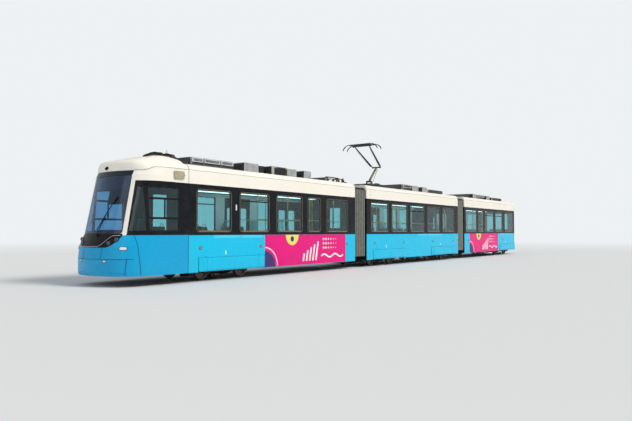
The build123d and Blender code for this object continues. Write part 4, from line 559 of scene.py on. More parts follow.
def ring_at(centre, way, radius, sides):
    """Points round a centre, square to a direction."""
    guide = Vector((0, 0, 1)) if abs(way.z) < 0.9 else Vector((1, 0, 0))
    aside = way.cross(guide).normalized()
    up = aside.cross(way)
    turns = [2 * math.pi * s / sides for s in range(sides)]
    return [centre + radius * (math.cos(turn) * aside + math.sin(turn) * up) for turn in turns]


def pipe(shape, path, radius, sides=10):
    """A round bar along a path of points, with closed ends."""
    points = [Vector(p) for p in path]
    rings = []
    for i, here in enumerate(points):
        before = points[i - 1] if i else here
        after = points[i + 1] if i < len(points) - 1 else here
        way = ((here - before).normalized() + (after - here).normalized()).normalized()
        rings.append(ring_at(here, way, radius, sides))
    skin(shape, rings)


def turned(shape, profile, foot, way, steps):
    """A lathe form: profile gives (radius, along) from a foot point along a direction."""
    way = Vector(way).normalized()
    skin(shape, [ring_at(Vector(foot) + way * along, way, radius, steps) for radius, along in profile])


PAD_STEPS, PAD_PULL, CHANNEL_DEPTH, CHANNEL_W = 12, 0.05, 0.35, 0.07


def cushion(shape, centre, across, along, size, channels):
    """A crowned closed pad. Its sides pull in between its corners, and sewn channels dip across it."""
    width, length, thick = size
    normal = Vector(across).cross(Vector(along)).normalized()
    shares = [math.sin(math.pi / 2 * (2 * i / PAD_STEPS - 1)) for i in range(PAD_STEPS + 1)]

    def point(u, v, face):
        x = u * width / 2 * (1 - PAD_PULL * (1 - v * v))
        y = v * length / 2 * (1 - PAD_PULL * (1 - u * u))
        crown = (1 - u ** 4) ** 0.5 * (1 - v ** 4) ** 0.5
        for channel in channels:
            crown *= 1 - CHANNEL_DEPTH * math.exp(-((v - channel) / CHANNEL_W) ** 2)
        lift = thick * (0.7 * crown if face > 0 else -0.3 * crown)
        return Vector(centre) + Vector(across) * x + Vector(along) * y + normal * lift

    edge = {}
    for face in (1, -1):
        rows = []
        for i, u in enumerate(shares):
            row = []
            for j, v in enumerate(shares):
                rim = i in (0, PAD_STEPS) or j in (0, PAD_STEPS)
                if rim and (i, j) in edge:
                    row.append(edge[i, j])
                    continue
                vertex = shape.verts.new(point(u, v, face))
                if rim:
                    edge[i, j] = vertex
                row.append(vertex)
            rows.append(row)
        for i in range(PAD_STEPS):
            for j in range(PAD_STEPS):
                corners = (rows[i][j], rows[i + 1][j], rows[i + 1][j + 1], rows[i][j + 1])
                shape.faces.new(corners if face > 0 else tuple(reversed(corners)))


# Pieces gather their forms under a name, and become objects once all are in
gathered = {}


def forms(name, material, body, slot, bevel=0.0):
    """The shape that gathers one piece's forms, on a section or on another moving body."""
    if name not in gathered:
        body = f"{body}_section" if body in SECTION_NAMES else body
        gathered[name] = (bmesh.new(), material, body, slot, bevel)
    return gathered[name][0]


def section_forms(kind, section, material, slot, bevel=0.0):
    """The shape that gathers a section's forms of one kind."""
    return forms(f"{kind}_{section}", material, section, slot, bevel)


def close_piece(name, shape, material, bevel):
    """Turns a shape into an object of one finish."""
    bmesh.ops.recalc_face_normals(shape, faces=shape.faces)
    mesh = bpy.data.meshes.new(name)
    shape.to_mesh(mesh)
    shape.free()
    mesh.materials.clear()
    mesh.materials.append(material)
    made = bpy.data.objects.new(name, mesh)
    scene.collection.objects.link(made)
    if bevel:
        edge = made.modifiers.new("edge", "BEVEL")
        edge.width = bevel
        edge.segments = 2
        edge.limit_method = "ANGLE"
    return made


# Surfaces: each turns (along, up, out) into a place

def side_at(side):
    """The flat side wall, seen from outside."""
    return lambda x, z, out: Vector((x, side * (SIDE_Y + out), z))


def lining_at(side):
    """The side wall's inner face; out is towards the aisle."""
    return lambda x, z, out: Vector((x, side * (SIDE_Y - WALL - out), z))


ROOF_WALL = ROOF_Z - SHOULDER_R - BAND_TOP_Z
SHOULDER_WAY = SHOULDER_R * math.pi / 2


def roof_at(side):
    """The roof's side: a flat wall, a round shoulder, then the top; the way up runs from the band's top."""
    def put(x, way, out):
        if way <= ROOF_WALL:
            return Vector((x, side * (SIDE_Y + out), BAND_TOP_Z + way))
        if way >= ROOF_WALL + SHOULDER_WAY:
            inward = SHOULDER_R + way - ROOF_WALL - SHOULDER_WAY
            return Vector((x, side * (SIDE_Y - inward), ROOF_Z + out))
        turn = (way - ROOF_WALL) / SHOULDER_R
        reach = SHOULDER_R + out
        return Vector((
            x, side * (SIDE_Y - SHOULDER_R + reach * math.cos(turn)), ROOF_Z - SHOULDER_R + reach * math.sin(turn)
        ))
    return put


def way_to(z):
    """The way up the roof's side to a height."""
    if z <= ROOF_Z - SHOULDER_R:
        return z - BAND_TOP_Z
    return ROOF_WALL + SHOULDER_R * math.asin((z - ROOF_Z + SHOULDER_R) / SHOULDER_R)


def nose_plan(z):
    """Front arc's centre and radius, and the corner arc's centre and radius, at a height."""
    for (low_z, low_back, low_inset), (high_z, high_back, high_inset) in zip(CAB_LEVELS, CAB_LEVELS[1:]):
        if z <= high_z:
            share = max((z - low_z) / (high_z - low_z), 0.0)
            setback = low_back + share * (high_back - low_back)
            inset = low_inset + share * (high_inset - low_inset)
            break
    front_x = NOSE_X - setback - FRONT_R
    corner = Vector((
        front_x + (FRONT_R - CORNER_R) * math.cos(FRONT_TURN), (FRONT_R - CORNER_R) * math.sin(FRONT_TURN)
    ))
    return front_x, FRONT_R - inset, corner, CORNER_R - inset


def nose_at(y, z, out):
    """The nose, seen from ahead: at y and z, moved out square to the plan."""
    front_x, front_r, corner, corner_r = nose_plan(z)
    centre, radius = Vector((front_x, 0.0)), front_r
    if abs(y) > front_r * math.sin(FRONT_TURN):
        centre, radius = Vector((corner.x, math.copysign(corner.y, y))), corner_r
    aside = y - centre.y
    ahead = math.sqrt(max(radius * radius - aside * aside, 0.0))
    return Vector((centre.x + ahead * (1 + out / radius), centre.y + aside * (1 + out / radius), z))


def cab_side_at(side):
    """The cab's side, seen from outside: at x and z, flat and then round the corner."""
    def put(x, z, out):
        corner, radius = nose_plan(z)[2:]
        ahead = x - corner.x
        if ahead <= 0:
            return Vector((x, side * (corner.y + radius + out), z))
        aside = math.sqrt(max(radius * radius - ahead * ahead, 0.0))
        grow = 1 + out / radius
        return Vector((corner.x + ahead * grow, side * (corner.y + aside * grow), z))
    return put


# Cab roof cap: share of the way back from the screen's top to the joint, and height
CAP_PROFILE = [
    (0.0, 3.262), (0.0, 3.400), (0.008, 3.490), (0.025, 3.540), (0.050, 3.575), (0.10, 3.605), (0.18, 3.640),
    (0.28, 3.685), (0.40, 3.735), (0.52, 3.785), (0.66, 3.802), (0.80, 3.792), (0.92, 3.766), (1.0, 3.746),
]
CAP_LOW_Z = CAP_PROFILE[0][1]
CAP_FLAT_Y, CAP_HALF_W = 0.62, 1.25
CAP_DROP = 0.300
CAP_OUT = 0.004
CAP_BACK_X = CAB_SEAM_X + 0.012


def cap_height(share, y):
    """The cap's height at a share of the way back: full in the middle, falling away to the shoulders."""
    for (s0, z0), (s1, z1) in zip(CAP_PROFILE[1:], CAP_PROFILE[2:]):
        if share <= s1:
            z = z0 + (z1 - z0) * (share - s0) / (s1 - s0)
            break
    aside = max((abs(y) - CAP_FLAT_Y) / (CAP_HALF_W - CAP_FLAT_Y), 0.0)
    return max(z - CAP_DROP * aside ** 2.2, CAP_LOW_Z)


def brow_side_at(side):
    """The cab's side with the cap on it: whichever lies further out at x and z."""
    flat = cab_side_at(side)

    def put(x, z, out):
        y = abs(flat(x, z, 0).y)
        for step in range(400):
            trial = CAP_HALF_W - 0.002 - 0.0015 * step
            front = nose_at(trial, CAP_LOW_Z, CAP_OUT).x
            on_cap = trial > y and CAP_BACK_X < x <= front
            if on_cap and cap_height((front - x) / (front - CAP_BACK_X), trial) >= z:
                y = trial
                break
        return Vector((x, side * (y + out), z))
    return put


TAIL_R = ((SIDE_Y - TAIL_CORNER_R) ** 2 + TAIL_CROWN ** 2) / (2 * TAIL_CROWN)


def tail_at(y, z, out):
    """The crowned rear end, seen from behind."""
    return Vector((TAIL_X + TAIL_R - math.sqrt(TAIL_R ** 2 - y ** 2) - out, y, z))


# What repeats: node trees with named inputs

COMMON_INPUTS = {"Carrier": ("Geometry", None), "Turn": ("Vector", (0, 0, 0)), "Finish": ("Material", None)}


def start_tree(name, inputs):
    """A geometry tree with the common inputs and its own. Returns the tree and its inputs' outputs."""
    tree = bpy.data.node_groups.new(name, "GeometryNodeTree")
    for title, (kind, value) in {**COMMON_INPUTS, **inputs}.items():
        socket = tree.interface.new_socket(title, in_out="INPUT", socket_type=f"NodeSocket{kind}")
        if value is not None:
            socket.default_value = value
    tree.interface.new_socket("Geometry", in_out="OUTPUT", socket_type="NodeSocketGeometry")
    return tree, add(tree, "NodeGroupInput").outputs


def end_tree(tree, given, points, form):
    """Sets a turned copy of the form on each point, makes the copies real and gives them their finish."""
    copies = add(tree, "GeometryNodeInstanceOnPoints", links={
        "Points": points, "Instance": form, "Rotation": given["Turn"],
    })
    real = add(tree, "GeometryNodeRealizeInstances", links={"Geometry": copies})
    coated = add(tree, "GeometryNodeSetMaterial", links={"Geometry": real, "Material": given["Finish"]})
    add(tree, "NodeGroupOutput", links={0: coated})
    return tree


def slat_tree():
    """Bars of one size in a row, each tilted: the slats of a louvre."""
    tree, given = start_tree("slats", {
        "Start": ("Vector", (0, 0, 0)), "Step": ("Vector", (0, 0, 0.03)), "Count": ("Int", 4),
        "Size": ("Vector", (1, 0.02, 0.004)),
    })
    places = add(tree, "GeometryNodeMeshLine", {"mode": "OFFSET"}, {
        "Count": given["Count"], "Start Location": given["Start"], "Offset": given["Step"],
    })
    slat = add(tree, "GeometryNodeMeshCube", links={"Size": given["Size"]})
    return end_tree(tree, given, places, slat)


def head_tree():
    """A round or six-sided head on each point of the carrier: bolts, rivets, buttons and insulator sheds."""
    tree, given = start_tree("heads", {
        "Sides": ("Int", 6), "Radius": ("Float", 0.01), "Height": ("Float", 0.008),
    })
    head = add(tree, "GeometryNodeMeshCylinder", links={
        "Vertices": given["Sides"], "Radius": given["Radius"], "Depth": given["Height"],
    })
    return end_tree(tree, given, given["Carrier"], head)


def coil_tree():
    """A coil spring of round wire on each point of the carrier."""
    tree, given = start_tree("coils", {
        "Turns": ("Float", 5.0), "Radius": ("Float", 0.1), "Wire": ("Float", 0.012), "Height": ("Float", 0.3),
    })
    line = add(tree, "GeometryNodeCurveSpiral", {"Resolution": 18}, {
        "Rotations": given["Turns"], "Start Radius": given["Radius"], "End Radius": given["Radius"],
        "Height": given["Height"],
    })
    section = add(tree, "GeometryNodeCurvePrimitiveCircle", {"Resolution": 7}, {"Radius": given["Wire"]})
    wire = add(tree, "GeometryNodeCurveToMesh", {"Fill Caps": True}, {
        "Curve": line, "Profile Curve": section,
    })
    return end_tree(tree, given, given["Carrier"], wire)


def guard_tree():
    """A wire guard of even rings on each point of the carrier."""
    tree, given = start_tree("guards", {
        "Rings": ("Int", 6), "Radius": ("Float", 0.25), "Wire": ("Float", 0.003),
    })
    places = add(tree, "GeometryNodeMeshLine", {"mode": "OFFSET", "Offset": (0, 0, 0)}, {"Count": given["Rings"]})
    number = add(tree, "GeometryNodeInputIndex")
    next_number = add(tree, "ShaderNodeMath", {"operation": "ADD", 1: 1.0}, {0: number})
    share = add(tree, "ShaderNodeMath", {"operation": "DIVIDE"}, {0: next_number, 1: given["Rings"]})
    ring = add(tree, "GeometryNodeCurvePrimitiveCircle", {"Resolution": 28}, {"Radius": given["Radius"]})
    rings = add(tree, "GeometryNodeInstanceOnPoints", links={"Points": places, "Instance": ring, "Scale": share})
    real = add(tree, "GeometryNodeRealizeInstances", links={"Geometry": rings})
    section = add(tree, "GeometryNodeCurvePrimitiveCircle", {"Resolution": 5}, {"Radius": given["Wire"]})
    wire = add(tree, "GeometryNodeCurveToMesh", links={"Curve": real, "Profile Curve": section})
    return end_tree(tree, given, given["Carrier"], wire)


SLATS, HEADS, COILS, GUARDS = slat_tree(), head_tree(), coil_tree(), guard_tree()


def grow(shape, tree, values, points=()):
    """Runs a tree on a carrier of points, its inputs set by identifier, and adds the plain mesh to a shape."""
    carrier_mesh = bpy.data.meshes.new("carrier")
    carrier_mesh.from_pydata([tuple(p) for p in points], [], [])
    carrier = bpy.data.objects.new("carrier", carrier_mesh)
    scene.collection.objects.link(carrier)
    repeat = carrier.modifiers.new("repeat", "NODES")
    repeat.node_group = tree
    for item in tree.interface.items_tree:
        if item.in_out == "INPUT" and item.name in values:
            repeat[item.identifier] = values[item.name]
    seen = carrier.evaluated_get(bpy.context.evaluated_depsgraph_get())
    mesh = bpy.data.meshes.new_from_object(seen)
    shape.from_mesh(mesh)
    bpy.data.objects.remove(carrier)
    bpy.data.meshes.remove(mesh)
    bpy.data.meshes.remove(carrier_mesh)


def heads(shape, finish, points, sides, radius, height, turn=(0, 0, 0)):
    """Round or six-sided heads on points."""
    grow(shape, HEADS, {
        "Sides": sides, "Radius": radius, "Height": height, "Turn": turn, "Finish": finish,
    }, points)


TURN_TO_SIDE = (math.pi / 2, 0, 0)
UP = Vector((0, 0, 1))

# Window rubbers: a rounded frame on each opening, a pale lower lip as painted highlight on the ledge, and the bar of
# each hopper pane
GASKET_W = 0.096
INNER_W = 0.024
GASKET_OUT = 0.009
GASKET_PROFILE = [
    (0.0, -0.002), (0.12, GASKET_OUT), (0.85, GASKET_OUT), (1.0, 0.002), (1.0, -0.004), (0.0, -0.004),
]
INNER_PROFILE = [(0.0, 0.001), (0.2, 0.006), (0.7, 0.005), (1.0, -0.006), (1.0, -0.010), (0.0, -0.006)]
LIP_W = 0.020
HOPPERS = {"front": (1,), "middle": (2,), "rear": (2, 3)}
HOPPER_DROP = 0.250
HOPPER_BAR_W = 0.042
LONG_EDGE = 0.2


def divided(outline, parts):
    """A closed outline with each long edge cut into equal parts, so that it can follow a curved wall."""
    points = []
    for (u0, v0), (u1, v1) in zip(outline, outline[1:] + outline[:1]):
        cuts = parts if math.hypot(u1 - u0, v1 - v0) > LONG_EDGE else 1
        points += [(u0 + (u1 - u0) * i / cuts, v0 + (v1 - v0) * i / cuts) for i in range(cuts)]
    return points


def window_rubber(shape, edging, centre, width, height, radius, put, parts=1):
    """A rounded sealing frame on the wall and a black edging that laps over the pane."""
    outer, middle, inner = (
        divided(rounded(width + more, height + more, radius + more / 2, 6, centre), parts)
        for more in (GASKET_W, 0.006, -INNER_W)
    )
    ring_frame(shape, outer, middle, GASKET_PROFILE, put)
    ring_frame(edging, middle, inner, INNER_PROFILE, put)


WINDOW_Z = (WINDOW_LOW_Z + WINDOW_HIGH_Z) / 2
WINDOW_H = WINDOW_HIGH_Z - WINDOW_LOW_Z
for name in SECTION_NAMES:
    rubbers = section_forms("window_rubbers", name, gasket_rubber, "black_band")
    edgings = section_forms("window_edgings", name, black_rubber, "black_band")
    lips = section_forms("window_lips", name, lip_highlight_rubber, "black_band")
    for side in (1, -1):
        for number, (start, end) in enumerate(WINDOWS[name]):
            if side < 0 and number in DOOR_WINDOWS[name]:
                continue
            x = SPAN[name][0] - (start + end) / 2
            width = end - start
            window_rubber(rubbers, edgings, (x, WINDOW_Z), width, WINDOW_H, WINDOW_R, side_at(side))
            # The pale lip is a painted highlight where light falls on the rubber's lower ledge
            lip_z = WINDOW_LOW_Z - LIP_W * 0.3
            lip_half = width / 2 - WINDOW_R
            strip(lips, level_across(x, lip_half, lip_z), LIP_W, GASKET_OUT + 0.001, side_at(side))
            if number in HOPPERS[name]:
                bar_z = WINDOW_HIGH_Z - HOPPER_DROP
                reach = width / 2 - 0.01
                strip(edgings, level_across(x, reach, bar_z), HOPPER_BAR_W, 0.004, side_at(side), sink=0.006)
tail_rubber = forms("window_rubbers_rear", gasket_rubber, "rear", "black_band")
tail_edging = forms("window_edgings_rear", black_rubber, "rear", "black_band")
window_rubber(tail_rubber, tail_edging, (0, WINDOW_Z), 2 * TAIL_WINDOW_HALF_W, WINDOW_H, WINDOW_R, tail_at, 14)

# The cab's sliding windows: a black frame with a fixed top light, two sliding panes and a bottom light
SLIDER_BACK, SLIDER_FRONT = 2.020, 0.970
SLIDER_BARS = (1.918, 2.480)
SLIDER_STRIP_X = 15.575
SLIDER_SINK = 0.008
slider_frames = forms("cab_slider_frames", black_rubber, "front", "black_band")
for side in (1, -1):
    put = cab_side_at(side)
    slider_x = NOSE_X - (SLIDER_BACK + SLIDER_FRONT) / 2
    slider_w = SLIDER_BACK - SLIDER_FRONT
    window_rubber(slider_frames, slider_frames, (slider_x, WINDOW_Z), slider_w, WINDOW_H, 0.05, put)
    reach = slider_w / 2 - 0.02
    for bar_z in SLIDER_BARS:
        strip(slider_frames, level_across(slider_x, reach, bar_z, 8), 0.060, 0.006, put, sink=SLIDER_SINK)
    strip(slider_frames, [(slider_x, bar_z) for bar_z in SLIDER_BARS], 0.050, 0.006, put, sink=SLIDER_SINK)
    pillar_path = fine([(SLIDER_STRIP_X, WINDOW_LOW_Z - 0.04), (SLIDER_STRIP_X, WINDOW_HIGH_Z + 0.04)])
    strip(slider_frames, pillar_path, 0.060, 0.005, put, sink=SLIDER_SINK)


def bogie_middles(section):
    """Places along the tram of a section's bogies."""
    return [SPAN[owner][0] - place for owner, place in BOGIES.values() if owner == section]


# Panel joints: dark on the blue, grey on the cream
SEAM_OUT = 0.0016
NOSE_SEAM_OUT = 0.004
CREAM_SEAM_Z = 3.390
CREAM_TICK_Z = 3.530
CREAM_TICKS = {"front": (2.2, 4.5, 6.82), "middle": (2.4, 4.9, 7.4), "rear": (2.3, 4.6, 6.9)}
END_JOINT = 0.350
COVER_GAP = 0.004


def upright(bottom, top, at, parts=8):
    """Points up a surface at one place along it, in equal parts."""
    return [(at, up) for up, _ in level_path(bottom, top, at, parts)]


for name in SECTION_NAMES:
    front_x, back_x = SPAN[name]
    dark = section_forms("blue_panel_joints", name, joint_shadow, "blue_paint")
    pale = section_forms("cream_panel_joints", name, seam_sealant, "cream_paint")
    tail_end = back_x + TAIL_CORNER_R + TAIL_CROWN if name == "rear" else back_x + 0.02
    for side in (1, -1):
        seam_way = way_to(CREAM_SEAM_Z)
        roof = roof_at(side)
        strip(pale, [(front_x - 0.02, seam_way), (tail_end, seam_way)], 0.010, SEAM_OUT, roof)
        for tick in CREAM_TICKS[name]:
            strip(pale, upright(seam_way, way_to(CREAM_TICK_Z), front_x - tick), 0.006, SEAM_OUT, roof)
        for place in () if name == "front" else (END_JOINT, front_x - tail_end - 0.25):
            strip(pale, upright(0.004, ROOF_WALL + SHOULDER_WAY, front_x - place, 14), 0.006, SEAM_OUT, roof)
        wall = side_at(side)
        strip(dark, [(front_x - 0.004, BELT_Z - 0.005), (tail_end, BELT_Z - 0.005)], 0.008, SEAM_OUT, wall)
        for middle_x in bogie_middles(name):
            back, ahead = middle_x - COVER_HALF_L - COVER_GAP, middle_x + COVER_HALF_L + COVER_GAP
            foot, top = SKIRT_Z + 0.01, COVER_TOP_Z + COVER_GAP
            strip(dark, [(back, foot), (back, top), (ahead, top), (ahead, foot)], 0.008, SEAM_OUT, wall)

# Bogie covers stand a little proud of the side, with a rounded edge that catches the light
COVER_PROUD, COVER_EDGE, COVER_CORNER = 0.024, 0.060, 0.075
COVER_PROFILE = [(0, -0.001), (0.04, 0.009), (0.20, 0.016), (0.50, 0.022), (1, COVER_PROUD), (1, -0.001)]
COVER_TICKS = (-0.86, 0.0, 0.86)
for name, place in BOGIES.values():
    shells = section_forms("bogie_cover_shells", name, cyan_enamel, "blue_paint")
    ticks = section_forms("bogie_cover_ticks", name, joint_shadow, "blue_paint")
    middle_x = SPAN[name][0] - place
    centre = (middle_x, (SKIRT_Z + 0.010 + COVER_TOP_Z) / 2)
    high = COVER_TOP_Z - SKIRT_Z - 0.016
    outer = rounded(2 * COVER_HALF_L - 0.012, high, COVER_CORNER, 7, centre)
    inner = rounded(2 * (COVER_HALF_L - COVER_EDGE), high - 2 * COVER_EDGE, 0.020, 7, centre)
    for side in (1, -1):
        wall = side_at(side)
        ring_frame(shells, outer, inner, COVER_PROFILE, wall)
        plate(shells, inner, COVER_PROUD, wall)
        for dx in COVER_TICKS:
            tick = [(middle_x + dx, SKIRT_Z + 0.07), (middle_x + dx, COVER_TOP_Z - 0.06)]
            strip(ticks, tick, 0.008, COVER_PROUD + 0.001, wall)

# The joint between the cab and the first section, up one side, over the shoulder and down the other
cab_joint_pale = forms("cab_joint_cream", seam_sealant, "front", "cream_paint")
cab_joint_dark = forms("cab_joint_dark", joint_shadow, "front", "blue_paint")
CAB_JOINT_X, CAB_JOINT_W, CAB_JOINT_OUT = CAB_SEAM_X - 0.006, 0.018, 0.002
for side in (1, -1):
    over_roof = upright(0.0, ROOF_WALL + SHOULDER_WAY + 0.5, CAB_JOINT_X, 30)
    strip(cab_joint_pale, over_roof, CAB_JOINT_W, CAB_JOINT_OUT, roof_at(side))
    up_side = upright(SKIRT_Z + 0.004, BELT_Z - 0.002, CAB_JOINT_X)
    strip(cab_joint_dark, up_side, CAB_JOINT_W, CAB_JOINT_OUT, side_at(side))

# Raised rail under the windows, in lengths with a tick between them; its paler cyan is a painted highlight
RAIL_STRETCHES = {
    "front": [(1.06, 2.19), (2.21, 3.40)], "middle": [(5.00, 6.40), (6.42, 7.80)], "rear": [(6.00, 7.20), (7.22, 8.60)],
}
RAIL_LOW_Z, RAIL_HIGH_Z = 1.330, 1.425
for name, stretches in RAIL_STRETCHES.items():
    highlit_rail = section_forms("highlit_rail", name, highlit_rail_enamel, "blue_paint", 0.0006)
    for start, end in stretches:
        for side in (1, -1):
            middle = (SPAN[name][0] - (start + end) / 2, (RAIL_LOW_Z + RAIL_HIGH_Z) / 2)
            plate(highlit_rail, rounded(end - start, RAIL_HIGH_Z - RAIL_LOW_Z, 0.008, 3, middle), 0.0022, side_at(side))

# Side marker lamps: an amber lens in a black bezel
MARKER_FROM_NOSE = (2.90, 5.70, 11.11, 13.40, 16.13, 19.41, 22.09, 24.3, 30.2)
MARKER_Z = 1.035
MARKER_W, MARKER_H = 0.090, 0.060
MARKER_BEZEL = [(0, -0.001), (0.2, 0.010), (0.8, 0.012), (1, 0.006), (1, -0.001)]
for from_nose in MARKER_FROM_NOSE:
    x = NOSE_X - from_nose
    name = next(n for n in SECTION_NAMES if SPAN[n][1] < x < SPAN[n][0])
    bezels = section_forms("marker_bezels", name, black_rubber, "mask_plastic")
    lenses = section_forms("marker_lenses", name, amber_lens, "lamp_red")
    for side in (1, -1):
        outer = rounded(MARKER_W + 0.030, MARKER_H + 0.030, 0.028, 5, (x, MARKER_Z))
        inner = rounded(MARKER_W - 0.006, MARKER_H - 0.006, 0.020, 5, (x, MARKER_Z))
        ring_frame(bezels, outer, inner, MARKER_BEZEL, side_at(side))
        dome(lenses, rounded(MARKER_W, MARKER_H, 0.022, 5, (x, MARKER_Z)), 0.016, side_at(side))

# Locks of the hatches: a dark turned disc with a shallow round recess, under the windows' ends and over the bogie
# covers
LOCK_R = 0.016
LOCK_HIGH_Z, LOCK_LOW_Z = 1.372, 0.770
for name in SECTION_NAMES:
    locks = section_forms("panel_locks", name, black_rubber, "mask_plastic")
    places = [(SPAN[name][0] - start - 0.04, LOCK_HIGH_Z) for start, end in WINDOWS[name][1:4]]
    places += [(middle_x + dx, LOCK_LOW_Z) for middle_x in bogie_middles(name) for dx in (-1.25, 1.25)]
    for side in (1, -1):
        for x, z in places:
            turned(locks, [(LOCK_R, -0.001), (LOCK_R, 0.003), (LOCK_R * 0.7, 0.005), (LOCK_R * 0.7, 0.003)],
                   (x, side * SIDE_Y, z), (0, side, 0), 14)

# Small white jacking marks over the bogie covers: a bar over an arrow head
MARK_OUT = 0.0008
MARK_FROM_BOGIE = 0.35
MARK_BAR = [(-0.02, 0.86), (0.02, 0.86), (0.02, 0.93), (-0.02, 0.93)]
MARK_HEAD = [(-0.035, 0.855), (0, 0.80), (0.035, 0.855)]
for name in SECTION_NAMES:
    marks = section_forms("jacking_marks", name, white_vinyl, "blue_paint")
    for middle_x in bogie_middles(name):
        x = middle_x + MARK_FROM_BOGIE
        for side in (1, -1):
            for outline in (MARK_BAR, MARK_HEAD):
                plate(marks, [(x + dx, z) for dx, z in outline], MARK_OUT, side_at(side))

# Door warning lamp between the first two windows
door_lamp = forms("door_warning_lamp", white_lens, "front", "lamp_clear")
dome(door_lamp, rounded(0.055, 0.190, 0.026, 6, (12.03, 2.32)), 0.012, side_at(1))

# Printed films on the left side: a magenta ground with plain discs, bars, dots and a wave
FILM = 0.0010
FILM_SPANS = {"front": (10.59, 5.49), "rear": (-7.94, -12.83)}
FILM_LOW_Z, FILM_HIGH_Z = SKIRT_Z + 0.008, BELT_Z - 0.012
SLANT, SLANT_W, SLANT_FOOT_Z = 0.22, 0.09, 0.44
for name, (film_front, film_back) in FILM_SPANS.items():
    left = side_at(1)
    length = film_front - film_back
    ground = section_forms("film_ground", name, magenta_vinyl, "blue_paint")
    white = section_forms("film_white", name, white_vinyl, "blue_paint")
    violet = section_forms("film_violet", name, violet_vinyl, "blue_paint")
    yellow = section_forms("film_yellow", name, yellow_vinyl, "blue_paint")
    plate(ground, [(film_back, FILM_LOW_Z), (film_front, FILM_LOW_Z),
                   (film_front, FILM_HIGH_Z), (film_back, FILM_HIGH_Z)], FILM, left)
    # A violet quarter disc in the lower front corner, with a thin white arc round it
    corner = (film_front - 0.001, FILM_LOW_Z + 0.001)
    plate(violet, disc_outline(corner, 0.56, 18, 90, 90) + [corner], 2 * FILM, left)
    strip(white, disc_outline(corner, 0.68, 20, 92, 86), 0.035, 2 * FILM, left)
    # A pale yellow half disc hangs from the upper edge, and a violet dot in it
    hung = (film_front - 0.30 * length, FILM_HIGH_Z - 0.001)
    plate(yellow, disc_outline(hung, 0.38, 24, 180, 180), 2 * FILM, left)
    plate(violet, disc_outline((hung[0], hung[1] - 0.15), 0.10, 18), 3 * FILM, left)
    # White slanting bars of growing length, in the middle
    for i in range(5):
        foot_x = film_front - 0.44 * length - 0.20 * i
        tall = 0.28 + 0.11 * i
        lean = SLANT * tall
        plate(white, [(foot_x, SLANT_FOOT_Z), (foot_x + SLANT_W, SLANT_FOOT_Z),
                      (foot_x + SLANT_W - lean, SLANT_FOOT_Z + tall), (foot_x - lean, SLANT_FOOT_Z + tall)],
              2 * FILM, left)
    # Rows of white dots that shrink toward the rear, over a soft white wave
    for row in range(3):
        for i in range(6):
            dot = (film_front - 0.69 * length - 0.17 * i, 1.25 - 0.17 * row)
            plate(white, disc_outline(dot, 0.050 - 0.006 * i, 12), 2 * FILM, left)
    wave_start = film_front - 0.66 * length
    wave = [(wave_start - 0.30 * length * i / 30, 0.60 + 0.06 * math.sin(2 * math.pi * i / 15)) for i in range(31)]
    strip(white, wave, 0.060, 2 * FILM, left)

# Nose: a bright line on the mask, seams, flaps and marker lamps
LINE_W = 0.014
nose_trim = forms("mask_bright_line", bright_trim, "front", "rail_steel")
line_path = [
    (-0.71, 1.112), (-0.40, 1.114), (-0.10, 1.117), (0.24, 1.122), (0.33, 1.165), (0.42, 1.245), (0.52, 1.345),
    (0.61, 1.418), (0.72, 1.428), (0.84, 1.432),
]
strip(nose_trim, fine(line_path), LINE_W, 0.005, nose_at)

nose_joints = forms("nose_panel_joints", joint_shadow, "front", "blue_paint")
NOSE_SEAM_Z = 0.790
COLLAR_Y = 1.22
FLAP_SEAMS = ([(0.40, 0.78), (0.405, 0.95), (0.41, 1.085)], [(1.075, 0.330), (1.09, 0.55), (1.11, 0.765)])
CORNER_SEAM = [
    (15.918, 1.430), (15.905, 1.345), (15.892, 1.260), (15.870, 1.050), (15.842, 0.790), (15.815, 0.550),
    (15.794, 0.330),
]
strip(nose_joints, fine_across(COLLAR_Y, NOSE_SEAM_Z - 0.02), 0.012, NOSE_SEAM_OUT, nose_at)
for side in (1, -1):
    for way in FLAP_SEAMS:
        strip(nose_joints, fine([(side * y, z) for y, z in way]), 0.010, NOSE_SEAM_OUT, nose_at)
    strip(nose_joints, fine(CORNER_SEAM, 0.03), 0.012, NOSE_SEAM_OUT, cab_side_at(side))

nose_lenses = forms("nose_marker_lenses", white_lens, "front", "lamp_clear")
nose_bezels = forms("nose_marker_bezels", black_rubber, "front", "mask_plastic")
NOSE_MARKERS = ((1.015, 1.070, 0.150, 0.085), (0.535, 0.715, 0.100, 0.050))
NOSE_BEZEL = [(0, -0.001), (0.3, 0.008), (1, 0.009), (1, -0.001)]
for side in (1, -1):
    for y, z, width, height in NOSE_MARKERS:
        outline = rounded(width, height, height * 0.35, 5, (side * y, z))
        outer = rounded(width + 0.024, height + 0.024, height * 0.35 + 0.012, 5, (side * y, z))
        ring_frame(nose_bezels, outer, outline, NOSE_BEZEL, nose_at)
        dome(nose_lenses, outline, 0.018, nose_at)

# Head lamps: a metallised bowl under each clear lens, with a ring of diodes
HEAD_LAMPS = [(0.600, 1.220), (0.790, 1.320)]
LAMP_RIM = [(0, -0.001), (0.3, 0.008), (0.8, 0.010), (1, 0.004), (1, -0.001)]
bowls = forms("head_lamp_bowls", reflector, "front", "lamp_clear")
diodes = forms("head_lamp_diodes", white_lens, "front", "lamp_clear")
lamp_rims = forms("head_lamp_rims", black_rubber, "front", "mask_plastic")
for y, z in HEAD_LAMPS:
    for side in (1, -1):
        centre = (side * y, z)
        round_rim(lamp_rims, centre, 0.070, 0.057, 28, LAMP_RIM, nose_at)
        plate(bowls, disc_outline(centre, 0.050, 24), 0.002, nose_at)
        for spot in [centre] + disc_outline(centre, 0.028, 6):
            dome(diodes, disc_outline(spot, 0.009, 10), 0.005, nose_at, 3)

